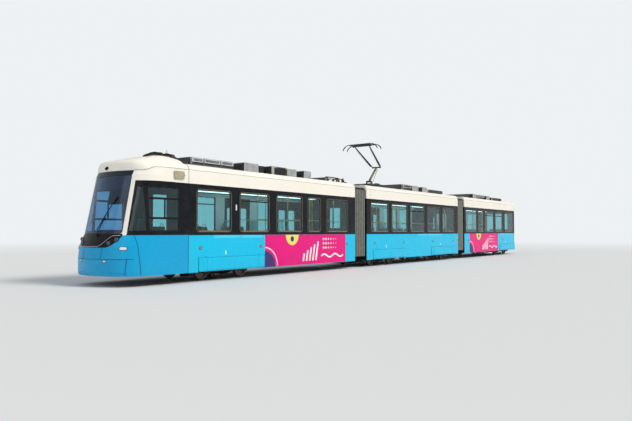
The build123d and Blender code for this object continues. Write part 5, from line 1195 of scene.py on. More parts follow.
# The cap over the screen: steep at the front, crowned over the aerial rack, low at the shoulders
cap = forms("cab_roof_cap", cream_enamel, "front", "cream_paint")
CAP_STATIONS = 44
cap_rings = []
for station in range(CAP_STATIONS + 1):
    y = -CAP_HALF_W + 2 * CAP_HALF_W * station / CAP_STATIONS
    front = nose_at(y, CAP_LOW_Z, CAP_OUT).x
    ring = [(front, y, CAP_LOW_Z)]
    for share, z in CAP_PROFILE[1:]:
        ring.append((front + (CAP_BACK_X - front) * share, y, cap_height(share, y)))
    ring.append((CAP_BACK_X, y, CAP_LOW_Z))
    cap_rings.append(ring)
skin(cap, cap_rings)

# The screen's printed head, dark over the display, and the brow's camera above it
SCREEN_TOP_Z, SCREEN_TOP_HALF_W = 3.150, 0.830
HEAD_TOP_Z = 3.278
head_print = forms("screen_head_print", screen_print, "front", "window_glass")
HEAD_LAP = 0.024
head_z = (SCREEN_TOP_Z + HEAD_TOP_Z - HEAD_LAP) / 2
strip(head_print, fine_across(SCREEN_TOP_HALF_W, head_z), HEAD_TOP_Z - SCREEN_TOP_Z + HEAD_LAP, 0.010, nose_at)
brow = forms("brow_camera", black_rubber, "front", "mask_plastic", 0.003)
BROW_CAMERA_Y, BROW_CAMERA_WAY = -0.19, (0.94, 0, -0.34)
foot = nose_at(BROW_CAMERA_Y, CAP_LOW_Z, 0.0) + Vector((0, 0, 0.105))
tube = [(0.030, 0.0), (0.036, 0.02), (0.036, 0.065), (0.022, 0.070), (0.022, 0.060)]
for profile in (tube, [(0.060, -0.01), (0.060, 0.010), (0.035, 0.018)]):
    turned(brow, profile, foot, BROW_CAMERA_WAY, 18)

# The cream seam on the cab: low at the brow, then rising to meet the roof's
cab_seam = forms("cab_cream_seam", seam_sealant, "front", "cream_paint")
CAB_RISE = [
    (15.70, 3.285), (15.60, 3.285), (15.52, 3.29), (15.42, 3.325), (15.33, 3.370), (15.23, 3.388), (15.0, 3.390),
    (14.6, 3.390), (14.11, 3.390),
]
for side in (1, -1):
    strip(cab_seam, fine(CAB_RISE), 0.012, 0.005, brow_side_at(side))

# Rear-view camera shells on the cream, darker beige as painted shade, with a dark lens at the back
pods = forms("camera_pod_shells", shaded_pod_shell, "front", "mask_plastic", 0.010)
pod_lenses = forms("camera_pod_lenses", screen_face, "front", "window_glass")
POD_X, POD_Z, POD_OUT = (14.300, 14.680), (3.085, 3.310), 0.038
POD_LAP, POD_SHELL = 0.006, 0.008
POD_LENS = [(0.034, -0.001), (0.034, 0.006), (0.020, 0.010)]
for side in (1, -1):
    middle = (sum(POD_X) / 2, sum(POD_Z) / 2)
    outline = rounded(POD_X[1] - POD_X[0] + POD_LAP, POD_Z[1] - POD_Z[0] + POD_LAP, 0.03, 6, middle)
    plate(pods, outline, POD_OUT + POD_SHELL, side_at(side))
    turned(pod_lenses, POD_LENS, (POD_X[0] - 0.002, side * (SIDE_Y + 0.022), middle[1]), (-1, 0, 0), 16)

# The reveal between the cream brow and the black side window
reveal = forms("cab_band_reveal", black_rubber, "front", "black_band")
REVEAL_X = (14.12, 15.66)
for side in (1, -1):
    strip(reveal, level_path(*REVEAL_X, BAND_TOP_Z - 0.006, 16), 0.014, 0.003, cab_side_at(side))

# Behind the screen: a dark blank display, the roller blind, and a pale grab rail at each pillar
display = forms("cab_display", display_face, "front", "cab_grey", 0.004)
casing = forms("cab_display_casing", cab_laminate, "front", "cab_grey", 0.006)
DISPLAY_Y, DISPLAY_LOW_Z, DISPLAY_HIGH_Z = 0.74, 2.735, 3.060
BEHIND_SCREEN = 0.060


def behind_screen(y, z, out):
    """A surface a little behind the screen's outer face."""
    return nose_at(y, z, out - BEHIND_SCREEN)


display_z = (DISPLAY_LOW_Z + DISPLAY_HIGH_Z) / 2
display_h = DISPLAY_HIGH_Z - DISPLAY_LOW_Z
strip(display, fine_across(DISPLAY_Y, display_z), display_h, 0.006, behind_screen, sink=0.004)
strip(casing, fine_across(1.05 * DISPLAY_Y, display_z), display_h + 0.05, -0.006, behind_screen, sink=0.16)
blind = forms("cab_roller_blind", black_rubber, "front", "cab_grey", 0.002)
strip(blind, fine([(0.10, 2.52), (0.70, 2.52)]), 0.44, 0.002, behind_screen, sink=0.002)
pillar_rail = forms("cab_pillar_rails", white_powder, "front", "rail_steel")
PILLAR_RAIL_Y = 0.80
PILLAR_RAIL = [(1.68, -0.06), (1.80, -0.11), (2.1, -0.11), (2.4, -0.11), (2.55, -0.11), (2.64, -0.06)]
for side in (1, -1):
    pipe(pillar_rail, [nose_at(side * PILLAR_RAIL_Y, z, out) for z, out in PILLAR_RAIL], 0.014)

# The driver's desk: an instrument hood, screens, a keypad and a master controller
DESK_X, DESK_Z = 15.72, 1.385
hood = forms("desk_instruments", cab_laminate, "front", "cab_grey", 0.012)
panel_faces = forms("desk_screens", screen_face, "front", "cab_grey", 0.003)
keys = forms("desk_keys", lining_laminate, "front", "cab_grey")
for y in (-0.42, 0.0, 0.42):
    bar(hood, (DESK_X + 0.02, y - 0.17, DESK_Z - 0.01), (DESK_X + 0.12, y + 0.17, DESK_Z + 0.20))
    bar(panel_faces, (DESK_X + 0.004, y - 0.14, DESK_Z + 0.02), (DESK_X + 0.022, y + 0.14, DESK_Z + 0.17))
key_places = [(15.56 + 0.05 * i, -0.75 + 0.05 * j, 1.362 + 0.010 * i) for i in range(3) for j in range(8)]
heads(keys, lining_laminate, key_places, 12, 0.011, 0.014, (0, -0.20, 0))
controller = forms("master_controller", black_rubber, "front", "cab_grey")
LEVER = [(0.045, 0), (0.045, 0.012), (0.018, 0.02), (0.012, 0.10), (0.026, 0.11), (0.030, 0.14), (0.016, 0.165)]
turned(controller, LEVER, (15.60, 0.62, 1.345), (-0.2, 0, 1), 18)
driver_pads = forms("driver_seat_pads", driver_plush, "front", "seat_fabric")
cushion(driver_pads, (14.93, 0, 1.315), (0, -1, 0), (1, 0, 0), (0.50, 0.46, 0.09), (-0.35, 0.35))
back_way = Vector((-0.14, 0, 1)).normalized()
cushion(driver_pads, (14.745, 0, 1.62), (0, 1, 0), back_way, (0.47, 0.60, 0.08), (-0.4, 0.1, 0.5))

# Seat pads: a cushion and a back pad on each shell, and a yellow grip on its aisle corner
SEAT_PAD, BACK_PAD = (0.295, 0.350, 0.050), (0.290, 0.420, 0.045)
SEAT_GRIP = [(0, 0), (0, 0.075), (0.02, 0.095), (0.12, 0.095), (0.14, 0.075), (0.14, 0)]
for name in SECTION_NAMES:
    pads = section_forms("seat_pads", name, seat_plush, "seat_fabric")
    grips = section_forms("seat_grips", name, pole_yellow, "rail_steel")
    for owner, place, base_z, facing in SEATS:
        if owner != name:
            continue
        x = SPAN[name][0] - place
        for side in (1, -1):
            for seat_y in SEAT_YS:
                y = side * seat_y
                lean = Vector((-0.085 * facing, 0, 0.49)).normalized()
                cushion(pads, (x + facing * 0.045, y, base_z + 0.430), (0, -facing, 0), (facing, 0, 0.02),
                        SEAT_PAD, (0.0,))
                cushion(pads, (x - facing * 0.172, y, base_z + 0.680), (0, facing, 0), lean, BACK_PAD, (-0.33, 0.33))
            top = Vector((x - facing * 0.255, side * (SEAT_YS[0] - 0.12), base_z + 0.895))
            pipe(grips, [top + Vector((0, side * y, z)) for y, z in SEAT_GRIP], 0.011, 8)

# Inside walls: laminate round the windows, ceiling lights, pole collars and stop buttons
LINING = 0.006
PILLAR_LINING_Z, PILLAR_LINING_H = 2.175, 1.29
LOW_LINING_Z, LOW_LINING_H = 1.1875, 0.695
LIGHT_Y, LIGHT_HALF_W = 0.62, 0.15
POLE_COLLAR = [(0.026, -0.03), (0.028, -0.022), (0.028, 0.022), (0.026, 0.03)]
POLE_FOOT = [(0.045, 0.0), (0.045, 0.008), (0.024, 0.016), (0.024, 0.03)]
STOP_Z = (1.50, 1.60)
for name in SECTION_NAMES:
    front_x, back_x = SPAN[name]
    linings = section_forms("wall_linings", name, lining_laminate, "cab_grey", 0.002)
    lights = section_forms("ceiling_lights", name, strip_light, "lamp_clear", 0.004)
    stops = section_forms("stop_buttons", name, red_lens, "lamp_red", 0.003)
    collars = section_forms("pole_collars", name, bright_trim, "rail_steel")
    first = front_x - (0.10 if name != "front" else 0.06)
    last = back_x + (0.10 if name != "rear" else 0.55)
    for side in (1, -1):
        inner = lining_at(side)
        middle, long = (first + last) / 2, first - last
        plate(linings, rounded(long, 0.135, 0.01, 2, (middle, 2.880)), LINING, inner)
        gaps = [(place - 0.70, place + 0.70) for place in DOORS[name]] if side < 0 else []
        gaps += [gap for number, gap in enumerate(WINDOWS[name]) if side > 0 or number not in DOOR_WINDOWS[name]]
        gaps.sort()
        for start, end in zip([gap[1] for gap in gaps], [gap[0] for gap in gaps[1:]]):
            if end - start > 0.08:
                pillar = (front_x - (start + end) / 2, PILLAR_LINING_Z)
                plate(linings, rounded(end - start - 0.03, PILLAR_LINING_H, 0.01, 2, pillar), LINING, inner)
        blocked = [(place - 0.72, place + 0.72) for place in DOORS[name]] if side < 0 else []
        edges = [front_x - first] + [edge for pair in blocked for edge in pair] + [front_x - last]
        for start, end in zip(edges[::2], edges[1::2]):
            if end - start > 0.2:
                centre = (front_x - (start + end) / 2, LOW_LINING_Z)
                plate(linings, rounded(end - start, LOW_LINING_H, 0.02, 2, centre), LINING, inner)
        light_y = side * LIGHT_Y
        bar(lights, (last + 0.2, light_y - LIGHT_HALF_W, CEILING_Z - 0.022),
            (first - 0.2, light_y + LIGHT_HALF_W, CEILING_Z - 0.002))
        for place in POLES[name]:
            x = front_x - place
            turned(collars, POLE_COLLAR, (x, side * POLE_Y, RAIL_Z), UP, 14)
            turned(collars, POLE_FOOT, (x, side * POLE_Y, FLOOR_Z), UP, 16)
        for place in POLES[name][1:3]:
            x = front_x - place
            inner_y = side * (POLE_Y - 0.045)
            low_y, high_y = sorted((inner_y, inner_y + side * 0.04))
            bar(stops, (x - 0.028, low_y, STOP_Z[0]), (x + 0.028, high_y, STOP_Z[1]))

# Draught screens of tinted glass beside the doors, with a post and a top rail
DOOR_PLACES = [(name, SPAN[name][0] - place) for name in SECTION_NAMES for place in DOORS[name]]
SCREEN_ASIDE, SCREEN_POST_Y = 0.74, -0.895
for name, door_x in DOOR_PLACES:
    screens = section_forms("draught_screens", name, side_glass, "window_glass")
    edges = section_forms("draught_screen_edges", name, bright_trim, "rail_steel")
    for x in (door_x - SCREEN_ASIDE, door_x + SCREEN_ASIDE):
        bar(screens, (x - 0.004, -1.255, 0.62), (x + 0.004, -0.90, 1.95))
        pipe(edges, [(x, SCREEN_POST_Y, 0.60), (x, SCREEN_POST_Y, 1.97)], 0.014, 10)
        pipe(edges, [(x, -1.26, 1.955), (x, SCREEN_POST_Y, 1.955)], 0.012, 10)

# Doors: black rubber between the leaves, a grab rail inside each, a bright-ringed button outside
DOOR_BUTTON = [(0.040, -0.001), (0.040, 0.006), (0.030, 0.010), (0.026, 0.006)]
DOOR_RAIL = [(-1.285, 0.95), (-1.245, 0.97), (-1.245, 1.73), (-1.285, 1.75)]
for name, x in DOOR_PLACES:
    edges = section_forms("door_rubbers", name, black_rubber, "door_black")
    buttons = section_forms("door_buttons", name, bright_trim, "rail_steel")
    rails = section_forms("door_grab_rails", name, pole_yellow, "rail_steel")
    treads = section_forms("door_treads", name, tread_metal, "rail_steel", 0.002)
    right = side_at(-1)
    strip(edges, [(x, DOOR_LOW_Z + 0.01), (x, DOOR_HIGH_Z - 0.01)], 0.040, 0.005, right)
    back, ahead, foot = x - DOOR_HALF_W, x + DOOR_HALF_W, DOOR_LOW_Z + 0.01
    frame_path = [(back, foot), (back, DOOR_HIGH_Z), (ahead, DOOR_HIGH_Z), (ahead, foot)]
    strip(edges, frame_path, 0.020, 0.004, right, sink=0.003)
    turned(buttons, DOOR_BUTTON, (x + 0.045, -SIDE_Y, 1.20), (0, -1, 0), 20)
    for leaf in (-1, 1):
        pipe(rails, [(x + leaf * 0.10, y, z) for y, z in DOOR_RAIL], 0.013, 10)
    bar(treads, (back, -1.262, FLOOR_Z + 0.0005), (ahead, -1.12, FLOOR_Z + 0.004))

# Roof gear: each housing is dressed in its own style
FRAME_W = 0.045
SLAT_TILT = 0.7
SLAT_COUNT = 3
RIVET_PITCH = 0.11
SHROUD_OUT = 0.004
SLAT_EDGE = [(0, -0.001), (0.1, 0.008), (0.9, 0.008), (1, -0.001)]


def unit_side(side, half_w):
    """One long side of a roof housing."""
    return lambda x, z, out: Vector((x, side * (half_w + out), z))


def unit_end(x_end, way):
    """One end of a roof housing, ahead (1) or behind (-1)."""
    return lambda y, z, out: Vector((x_end + way * out, y, z))


def louvred(name, x_back, x_front, half_w, low_z, top_z, finish_of_slats):
    """A black plate along the foot, painted shade under the raised housing, under a white-edged bay of slats."""
    edges = section_forms("roof_unit_edges", name, white_powder, "roof_equipment", 0.002)
    shade_and_dark_plates = section_forms("roof_unit_feet", name, dark_powder, "roof_equipment", 0.002)
    slats = forms(f"roof_unit_slats_{name}_{finish_of_slats.name}", finish_of_slats, name, "roof_equipment")
    middle, long = (x_back + x_front) / 2, x_front - x_back
    height = top_z - low_z - 0.022
    foot_h = 0.38 * height
    bay_h = height - foot_h
    bay_z = low_z + foot_h + bay_h / 2
    for side in (1, -1):
        put = unit_side(side, half_w)
        # Painted shade: a black plate over the lower part of the side, for the shadow under the raised housing
        plate(shade_and_dark_plates, rounded(long - 0.004, foot_h, 0.006, 2, (middle, low_z + foot_h / 2)), 0.005, put)
        plate(shade_and_dark_plates, rounded(long - 2 * FRAME_W, bay_h - 0.03, 0.006, 2, (middle, bay_z)), 0.002, put)
        outer = rounded(long - 0.004, bay_h, 0.018, 3, (middle, bay_z))
        inner = rounded(long - 1.6 * FRAME_W, bay_h - 0.040, 0.010, 3, (middle, bay_z))
        ring_frame(edges, outer, inner, SLAT_EDGE, put)
        pitch = (bay_h - 0.045) / SLAT_COUNT
        grow(slats, SLATS, {
            "Start": (middle, side * (half_w + 0.006), bay_z - pitch), "Step": (0, 0, pitch), "Count": SLAT_COUNT,
            "Size": (long - 1.7 * FRAME_W, 0.026, 0.005), "Turn": (-side * SLAT_TILT, 0, 0), "Finish": finish_of_slats,
        })
    for y in (-0.6, 0.0, 0.6):
        strip(shade_and_dark_plates, level_across(y, 0.22, low_z + height / 2), height * 0.55, 0.003, unit_end(x_front, 1))


def panelled(name, x_back, x_front, half_w, low_z, top_z):
    """A grey housing: a black louvred front, ribbed sides, and a rail of rivets along the foot."""
    fronts = section_forms("roof_unit_fronts", name, dark_powder, "roof_equipment", 0.003)
    ribs = section_forms("roof_unit_ribs", name, grey_powder, "roof_equipment", 0.002)
    rivets = section_forms("roof_unit_rivets", name, zinc_steel, "roof_equipment")
    height = top_z - low_z - 0.024
    middle_z = low_z + height / 2
    plate(fronts, rounded(2 * half_w - 0.01, height, 0.015, 3, (0, middle_z)), 0.006, unit_end(x_front, 1))
    grow(fronts, SLATS, {
        "Start": (x_front + 0.010, 0, low_z + 0.05), "Step": (0, 0, 0.042), "Count": int((height - 0.06) / 0.042),
        "Size": (0.022, 1.7 * half_w, 0.004), "Turn": (0, SLAT_TILT, 0), "Finish": dark_powder,
    })
    for side in (1, -1):
        put = unit_side(side, half_w)
        for i in range(3):
            x = x_back + (x_front - x_back) * (i + 0.5) / 3
            strip(ribs, [(x, low_z + 0.03), (x, low_z + height - 0.03)], 0.030, 0.005, put)
        strip(ribs, [(x_back + 0.01, low_z + 0.022), (x_front - 0.01, low_z + 0.022)], 0.030, 0.005, put)
        long = x_front - x_back
        count = max(int(long / RIVET_PITCH), 2)
        rivet_y, rivet_z = side * (half_w + 0.007), low_z + 0.022
        places = [(x_back + long * (i + 0.5) / count, rivet_y, rivet_z) for i in range(count)]
        heads(rivets, zinc_steel, places, 8, 0.008, 0.008, TURN_TO_SIDE)


def shroud(name, x_back, x_front, half_w, low_z, front_top, back_top):
    """A black moulded wedge that fairs in the gear behind it, with shallow ribs along its slope."""
    shell = section_forms("roof_shrouds", name, dark_powder, "roof_equipment", 0.010)
    ahead, back = x_front + SHROUD_OUT, x_back - SHROUD_OUT / 2
    outline = [(ahead, low_z), (ahead, front_top), (back, back_top + SHROUD_OUT), (back, low_z)]
    skin(shell, [[(x, y, z) for x, z in outline] for y in (-half_w - SHROUD_OUT, half_w + SHROUD_OUT)])
    slope = (back_top - front_top) / (x_front - x_back)
    for i in range(5):
        y = half_w * (i - 2) * 0.38
        low_end = (x_front - 0.03, y, front_top + 0.03 * slope + 0.006)
        high_end = (x_back + 0.04, y, back_top - 0.04 * slope + 0.006)
        pipe(shell, [low_end, high_end], 0.012, 8)


def grille(name, x_back, x_front, half_w, low_z, top_z):
    """A black box with tall louvred panels, a grey end and bright corner marks."""
    panels = section_forms("roof_grille_panels", name, dark_powder, "roof_equipment", 0.003)
    slat_finish = olive_powder if name != "front" else dark_powder
    slats = section_forms("roof_grille_slats", name, slat_finish, "roof_equipment")
    marks = section_forms("roof_unit_marks", name, warning_yellow, "roof_equipment")
    height = top_z - low_z - 0.024
    middle_z = low_z + height / 2
    long = x_front - x_back - 0.16
    middle = x_back + long / 2 + 0.01
    plate(panels, rounded(2 * half_w - 0.01, height, 0.015, 3, (0, middle_z)), 0.006, unit_end(x_front, 1))
    for side in (1, -1):
        put = unit_side(side, half_w)
        plate(panels, rounded(long, height, 0.012, 3, (middle, middle_z)), 0.005, put)
        bays = max(int(long / 0.42), 1)
        for i in range(bays):
            bay_x = middle - long / 2 + long * (i + 0.5) / bays
            grow(slats, SLATS, {
                "Start": (bay_x, side * (half_w + 0.009), low_z + 0.035), "Step": (0, 0, 0.030),
                "Count": int((height - 0.05) / 0.030), "Size": (long / bays - 0.05, 0.020, 0.004),
                "Turn": (-side * SLAT_TILT, 0, 0), "Finish": slat_finish,
            })
        for end in (-1, 1):
            mark_x = middle + end * (long / 2 - 0.05)
            plate(marks, rounded(0.08, 0.035, 0.006, 3, (mark_x, low_z + height - 0.02)), 0.016, put)


for name, start, end, half_w, front_top, back_top, plinth, style in ROOF_UNITS:
    x_front, x_back = SPAN[name][0] - start, SPAN[name][0] - end
    low_z = ROOF_Z + plinth
    if style == "louvred":
        louvred(name, x_back, x_front, half_w, low_z, front_top, olive_powder if name == "middle" else grey_powder)
    elif style == "panelled":
        panelled(name, x_back, x_front, half_w, low_z, front_top)
    elif style == "shroud":
        shroud(name, x_back, x_front, half_w, low_z, front_top, back_top)
    else:
        grille(name, x_back, x_front, half_w, low_z, front_top)

# Fans: twisted blades in each opening under a wire guard
FAN_RIM = [(0, -0.001), (0.1, 0.006), (0.9, 0.006), (1, -0.001)]
FAN_SPOKES, FAN_BLADES = 4, 7
for name, place, top_z, radius in FANS:
    x = SPAN[name][0] - place
    blades = section_forms("fan_blades", name, dark_powder, "roof_equipment")
    guards = section_forms("fan_guards", name, zinc_steel, "roof_equipment")
    rims = section_forms("fan_rims", name, dark_powder, "roof_equipment")
    centres = [(x, y, top_z + 0.003) for y in (FAN_Y, -FAN_Y)]
    grow(guards, GUARDS, {"Rings": 7, "Radius": radius, "Wire": 0.0035, "Finish": zinc_steel}, centres)
    for centre in centres:
        for spoke in range(FAN_SPOKES):
            turn = math.pi * spoke / FAN_SPOKES
            spoke_way = Vector((math.cos(turn), math.sin(turn), 0)) * radius
            pipe(guards, [Vector(centre) - spoke_way, Vector(centre) + spoke_way], 0.004, 6)
        for blade in range(FAN_BLADES):
            turn = 2 * math.pi * blade / FAN_BLADES
            out = Vector((math.cos(turn), math.sin(turn), 0))
            onward = Vector((-math.sin(turn), math.cos(turn), 0))
            rings = []
            for share in (0.33, 0.6, 0.92):
                twist = 0.9 - 0.55 * share
                chord = radius * (0.20 + 0.12 * share)
                along = onward * math.cos(twist) + UP * math.sin(twist) * 0.45
                middle = Vector(centre) + out * radius * share - UP * 0.014
                reach, thick = along * chord / 2, UP * 0.0015
                rings.append([
                    middle - reach - thick, middle + reach - thick, middle + reach + thick, middle - reach + thick,
                ])
            skin(blades, rings)
        round_rim(rims, centre, radius + 0.022, radius - 0.002, 32, FAN_RIM,
                  lambda u, v, out, z=top_z: Vector((u, v, z + out)))

# The aerial rack: a black box behind the cap, and a bundle of pipes and cables along the left edge
rack = forms("cab_rack_box", dark_powder, "front", "roof_equipment", 0.006)
rack_pipes = forms("cab_rack_pipes", black_rubber, "front", "roof_equipment")
BUNDLE_Y = BUNDLE_IN, BUNDLE_OUT = (0.44, 0.63)
bar(rack, (13.944, -0.634, 3.605), (CAP_BACK_X, 0.634, 3.762))
bundle_side = [
    (15.11, 3.735), (15.09, 3.790), (14.90, 3.858), (14.60, 3.876), (14.30, 3.858), (14.06, 3.842), (13.95, 3.815),
    (13.95, 3.700),
]
skin(rack, [[(x, y, z) for x, z in bundle_side] for y in BUNDLE_Y])
bundle_pipes = [
    (BUNDLE_OUT - 0.005, [(15.10, 3.775), (14.96, 3.850), (14.82, 3.885), (14.70, 3.880), (14.62, 3.845)], 0.024),
    (BUNDLE_OUT - 0.050, [(14.74, 3.850), (14.66, 3.895), (14.52, 3.902), (14.44, 3.860)], 0.020),
    (BUNDLE_OUT - 0.010, [(14.50, 3.850), (14.38, 3.885), (14.24, 3.882), (14.16, 3.840)], 0.024),
    (BUNDLE_OUT - 0.070, [(14.22, 3.845), (14.12, 3.886), (14.02, 3.884), (13.96, 3.800)], 0.022),
    (BUNDLE_IN + 0.020, [(15.04, 3.800), (14.80, 3.885), (14.40, 3.895), (14.05, 3.865), (13.97, 3.790)], 0.018),
]
for y, way, radius in bundle_pipes:
    pipe(rack_pipes, [(x, y, z) for x, z in way], radius, 10)
# Loops of cable over the bundle, and a short spike aerial
for i in range(8):
    x = 14.98 - 0.13 * i
    z = 3.872 - 0.30 * abs(x - 14.60) ** 1.6
    loop = [(BUNDLE_IN - 0.01, z - 0.06), (BUNDLE_IN + 0.03, z), (BUNDLE_OUT - 0.03, z), (BUNDLE_OUT + 0.012, z - 0.07)]
    pipe(rack_pipes, [(x, y, up) for y, up in loop], 0.014, 8)
SPIKE = [(0.026, 0), (0.026, 0.010), (0.009, 0.03), (0.007, 0.15), (0.002, 0.165)]
turned(rack_pipes, SPIKE, (14.24, 0.50, 3.872), UP, 12)

# Busbar rack between the last housing and the articulation, on ribbed insulators
BUSBAR_X, BUSBAR_Y = (6.15, 5.75, 5.35, 4.95), (-0.62, 0.0, 0.62)
busbars = forms("busbar_rack", collector_paint, "front", "roof_equipment")
insulators = forms("busbar_insulators", insulator_resin, "front", "roof_equipment")
stands = [(x, y, ROOF_Z) for x in BUSBAR_X for y in BUSBAR_Y]
for stand in stands:
    turned(insulators, [(0.040, -0.004), (0.034, 0.02), (0.030, 0.13), (0.034, 0.15)], stand, UP, 14)
sheds = [(x, y, z + 0.035 + 0.030 * i) for x, y, z in stands for i in range(4)]
heads(insulators, insulator_resin, sheds, 14, 0.058, 0.010)
for y in BUSBAR_Y:
    pipe(busbars, [(4.90, y, 3.715), (5.00, y, 3.745), (6.20, y, 3.745), (6.28, y, 3.720)], 0.016, 10)
for x in (5.15, 5.95):
    pipe(busbars, [(x, -0.70, 3.775), (x, 0.70, 3.775)], 0.013, 10)

# Cable ducts over the rack: front end, side, length and height
DUCTS = ((6.05, 0.72, 0.9, 3.80), (5.70, 0.46, 1.0, 3.83), (5.45, -0.30, 0.9, 3.79), (5.30, 0.80, 0.45, 3.76))
for x, y, long, z in DUCTS:
    pipe(busbars, [(x, y, z - 0.05), (x - 0.03, y, z), (x - long, y, z), (x - long - 0.03, y, z - 0.04)], 0.020, 10)
    for foot_x in (x - 0.12, x - long + 0.12):
        turned(insulators, [(0.022, 0), (0.022, z - ROOF_Z)], (foot_x, y, ROOF_Z), UP, 12)
trunking = forms("roof_end_trunking", dark_powder, "front", "roof_equipment", 0.008)
bar(trunking, (4.80, -0.95, ROOF_Z - 0.004), (5.02, 0.95, ROOF_Z + 0.060))
BUSHING = [(0.055, 0), (0.055, 0.06), (0.035, 0.09), (0.016, 0.17), (0.006, 0.19)]
for y in (-0.80, 0.30, 0.82):
    turned(busbars, BUSHING, (4.90, y, ROOF_Z + 0.056), UP, 14)
middle_trunking = forms("roof_front_trunking", dark_powder, "middle", "roof_equipment", 0.008)
bar(middle_trunking, (3.50, -0.85, ROOF_Z - 0.004), (3.70, 0.85, ROOF_Z + 0.050))

# A drip rail over the doors
DRIP_HALF_L = 0.78
for name, x in DOOR_PLACES:
    drip = section_forms("roof_drip_rails", name, cream_enamel, "cream_paint", 0.001)
    bar(drip, (x - DRIP_HALF_L, -SIDE_Y - 0.014, BAND_TOP_Z + 0.030),
        (x + DRIP_HALF_L, -SIDE_Y + 0.001, BAND_TOP_Z + 0.042))

# Current collector: sheds on its insulators, tension springs, contact carbons and frame bolts
COLLECTOR_SPRING_Y, COLLECTOR_SPRING_Z = 0.24, 3.835
springs = forms("collector_springs", spring_steel, "middle_section", "collector_metal")
grow(springs, COILS, {
    "Turns": 16.0, "Radius": 0.030, "Wire": 0.005, "Height": 0.42, "Turn": (0, math.pi / 2, 0), "Finish": spring_steel,
}, [(0.80, side * COLLECTOR_SPRING_Y, COLLECTOR_SPRING_Z) for side in (-1, 1)])
spring_rods = forms("collector_spring_rods", zinc_steel, "middle_section", "collector_metal")
spring_rod = [(0.765, 3.80), (0.765, COLLECTOR_SPRING_Z), (1.28, COLLECTOR_SPRING_Z), (1.37, 3.80)]
for side in (-1, 1):
    pipe(spring_rods, [(x, side * COLLECTOR_SPRING_Y, z) for x, z in spring_rod], 0.010, 8)
base_bolts = forms("collector_base_bolts", zinc_steel, "middle_section", "collector_metal")
corners = [(x, y, 3.806) for x in (0.76, 1.89) for y in (-0.39, 0.39)]
heads(base_bolts, zinc_steel, corners, 6, 0.016, 0.016)
base_sheds = forms("collector_insulator_skins", insulator_resin, "middle_section", "collector_metal")
SHED = [(0.043, -0.004), (0.068, 0.001), (0.068, 0.010), (0.043, 0.017)]
for x, y, z in corners:
    turned(base_sheds, [(0.043, 0.004), (0.043, 0.036)], (x, y, ROOF_Z), UP, 20)
    for shed_z in (0.040, 0.085, 0.130):
        turned(base_sheds, [(radius, shed_z + up) for radius, up in SHED], (x, y, ROOF_Z), UP, 20)
HEAD_X, STRIP_X, STRIP_TOP_Z = 2.020, 0.180, 5.630
CARBON_Z = (5.6600, 5.6645)
carbons = forms("collector_carbons", contact_carbon, "collector_head", "collector_metal", 0.002)
for end in (-1, 1):
    x = HEAD_X + end * STRIP_X
    bar(carbons, (x - 0.016, -0.50, CARBON_Z[0]), (x + 0.016, 0.50, CARBON_Z[1]))

# Its arms: sleeves over the lower arm and the two upper ones, with a wire beside each
ARM_BASE, ARM_KNEE, ARM_TOP = Vector((1.370, 0, 3.940)), Vector((0.650, 0, 4.680)), Vector((2.020, 0, 5.570))
KNEE_Y, ARM_TOP_Y = 0.235, 0.400


def sleeve(shape, start, end, shares, radii):
    """A tapered round sleeve over a stretch of an arm."""
    way = end - start
    turned(shape, [(r, way.length * s) for s, r in zip(shares, radii)], start, way, 16)


lower_sleeve = forms("collector_lower_sleeve", olive_powder, "collector_lower_arm", "collector_metal")
sleeve(lower_sleeve, ARM_BASE, ARM_KNEE, (0.13, 0.14, 0.86, 0.88), (0.036, 0.056, 0.050, 0.036))
upper_sleeves = forms("collector_upper_sleeves", collector_paint, "collector_upper_arm", "collector_metal")
for side in (1, -1):
    foot, top = ARM_KNEE + Vector((0, side * KNEE_Y, 0)), ARM_TOP + Vector((0, side * ARM_TOP_Y, 0))
    sleeve(upper_sleeves, foot, top, (0.06, 0.07, 0.35, 0.93, 0.94), (0.030, 0.046, 0.040, 0.030, 0.024))
    below = Vector((0.045, 0, -0.060))
    wire = [foot.lerp(top, 0.09), foot.lerp(top, 0.12) + below, foot.lerp(top, 0.86) + below, foot.lerp(top, 0.90)]
    pipe(upper_sleeves, wire, 0.006, 8)
carriers = forms("collector_strip_carriers", dark_powder, "collector_head", "collector_metal", 0.003)
for end in (-1, 1):
    x = HEAD_X + end * STRIP_X
    bar(carriers, (x - 0.026, -0.56, STRIP_TOP_Z - 0.020), (x + 0.026, 0.56, STRIP_TOP_Z + 0.004))
    for side in (1, -1):
        horn_foot = side * 0.53
        bar(carriers, (x - 0.034, horn_foot - 0.030, STRIP_TOP_Z - 0.036),
            (x + 0.034, horn_foot + 0.030, STRIP_TOP_Z - 0.002))
        turns = [math.pi / 2 * i / 10 for i in range(11)]
        horn = [(side * (0.54 + 0.40 * math.sin(t)), STRIP_TOP_Z + 0.015 - 0.26 * (1 - math.cos(t))) for t in turns]
        pipe(carriers, [(x, y, z) for y, z in horn], 0.0175, 10)
for y in (-0.50, -0.22, 0.22, 0.50):
    bar(carriers, (HEAD_X - STRIP_X, y - 0.010, STRIP_TOP_Z - 0.018),
        (HEAD_X + STRIP_X, y + 0.010, STRIP_TOP_Z - 0.004))

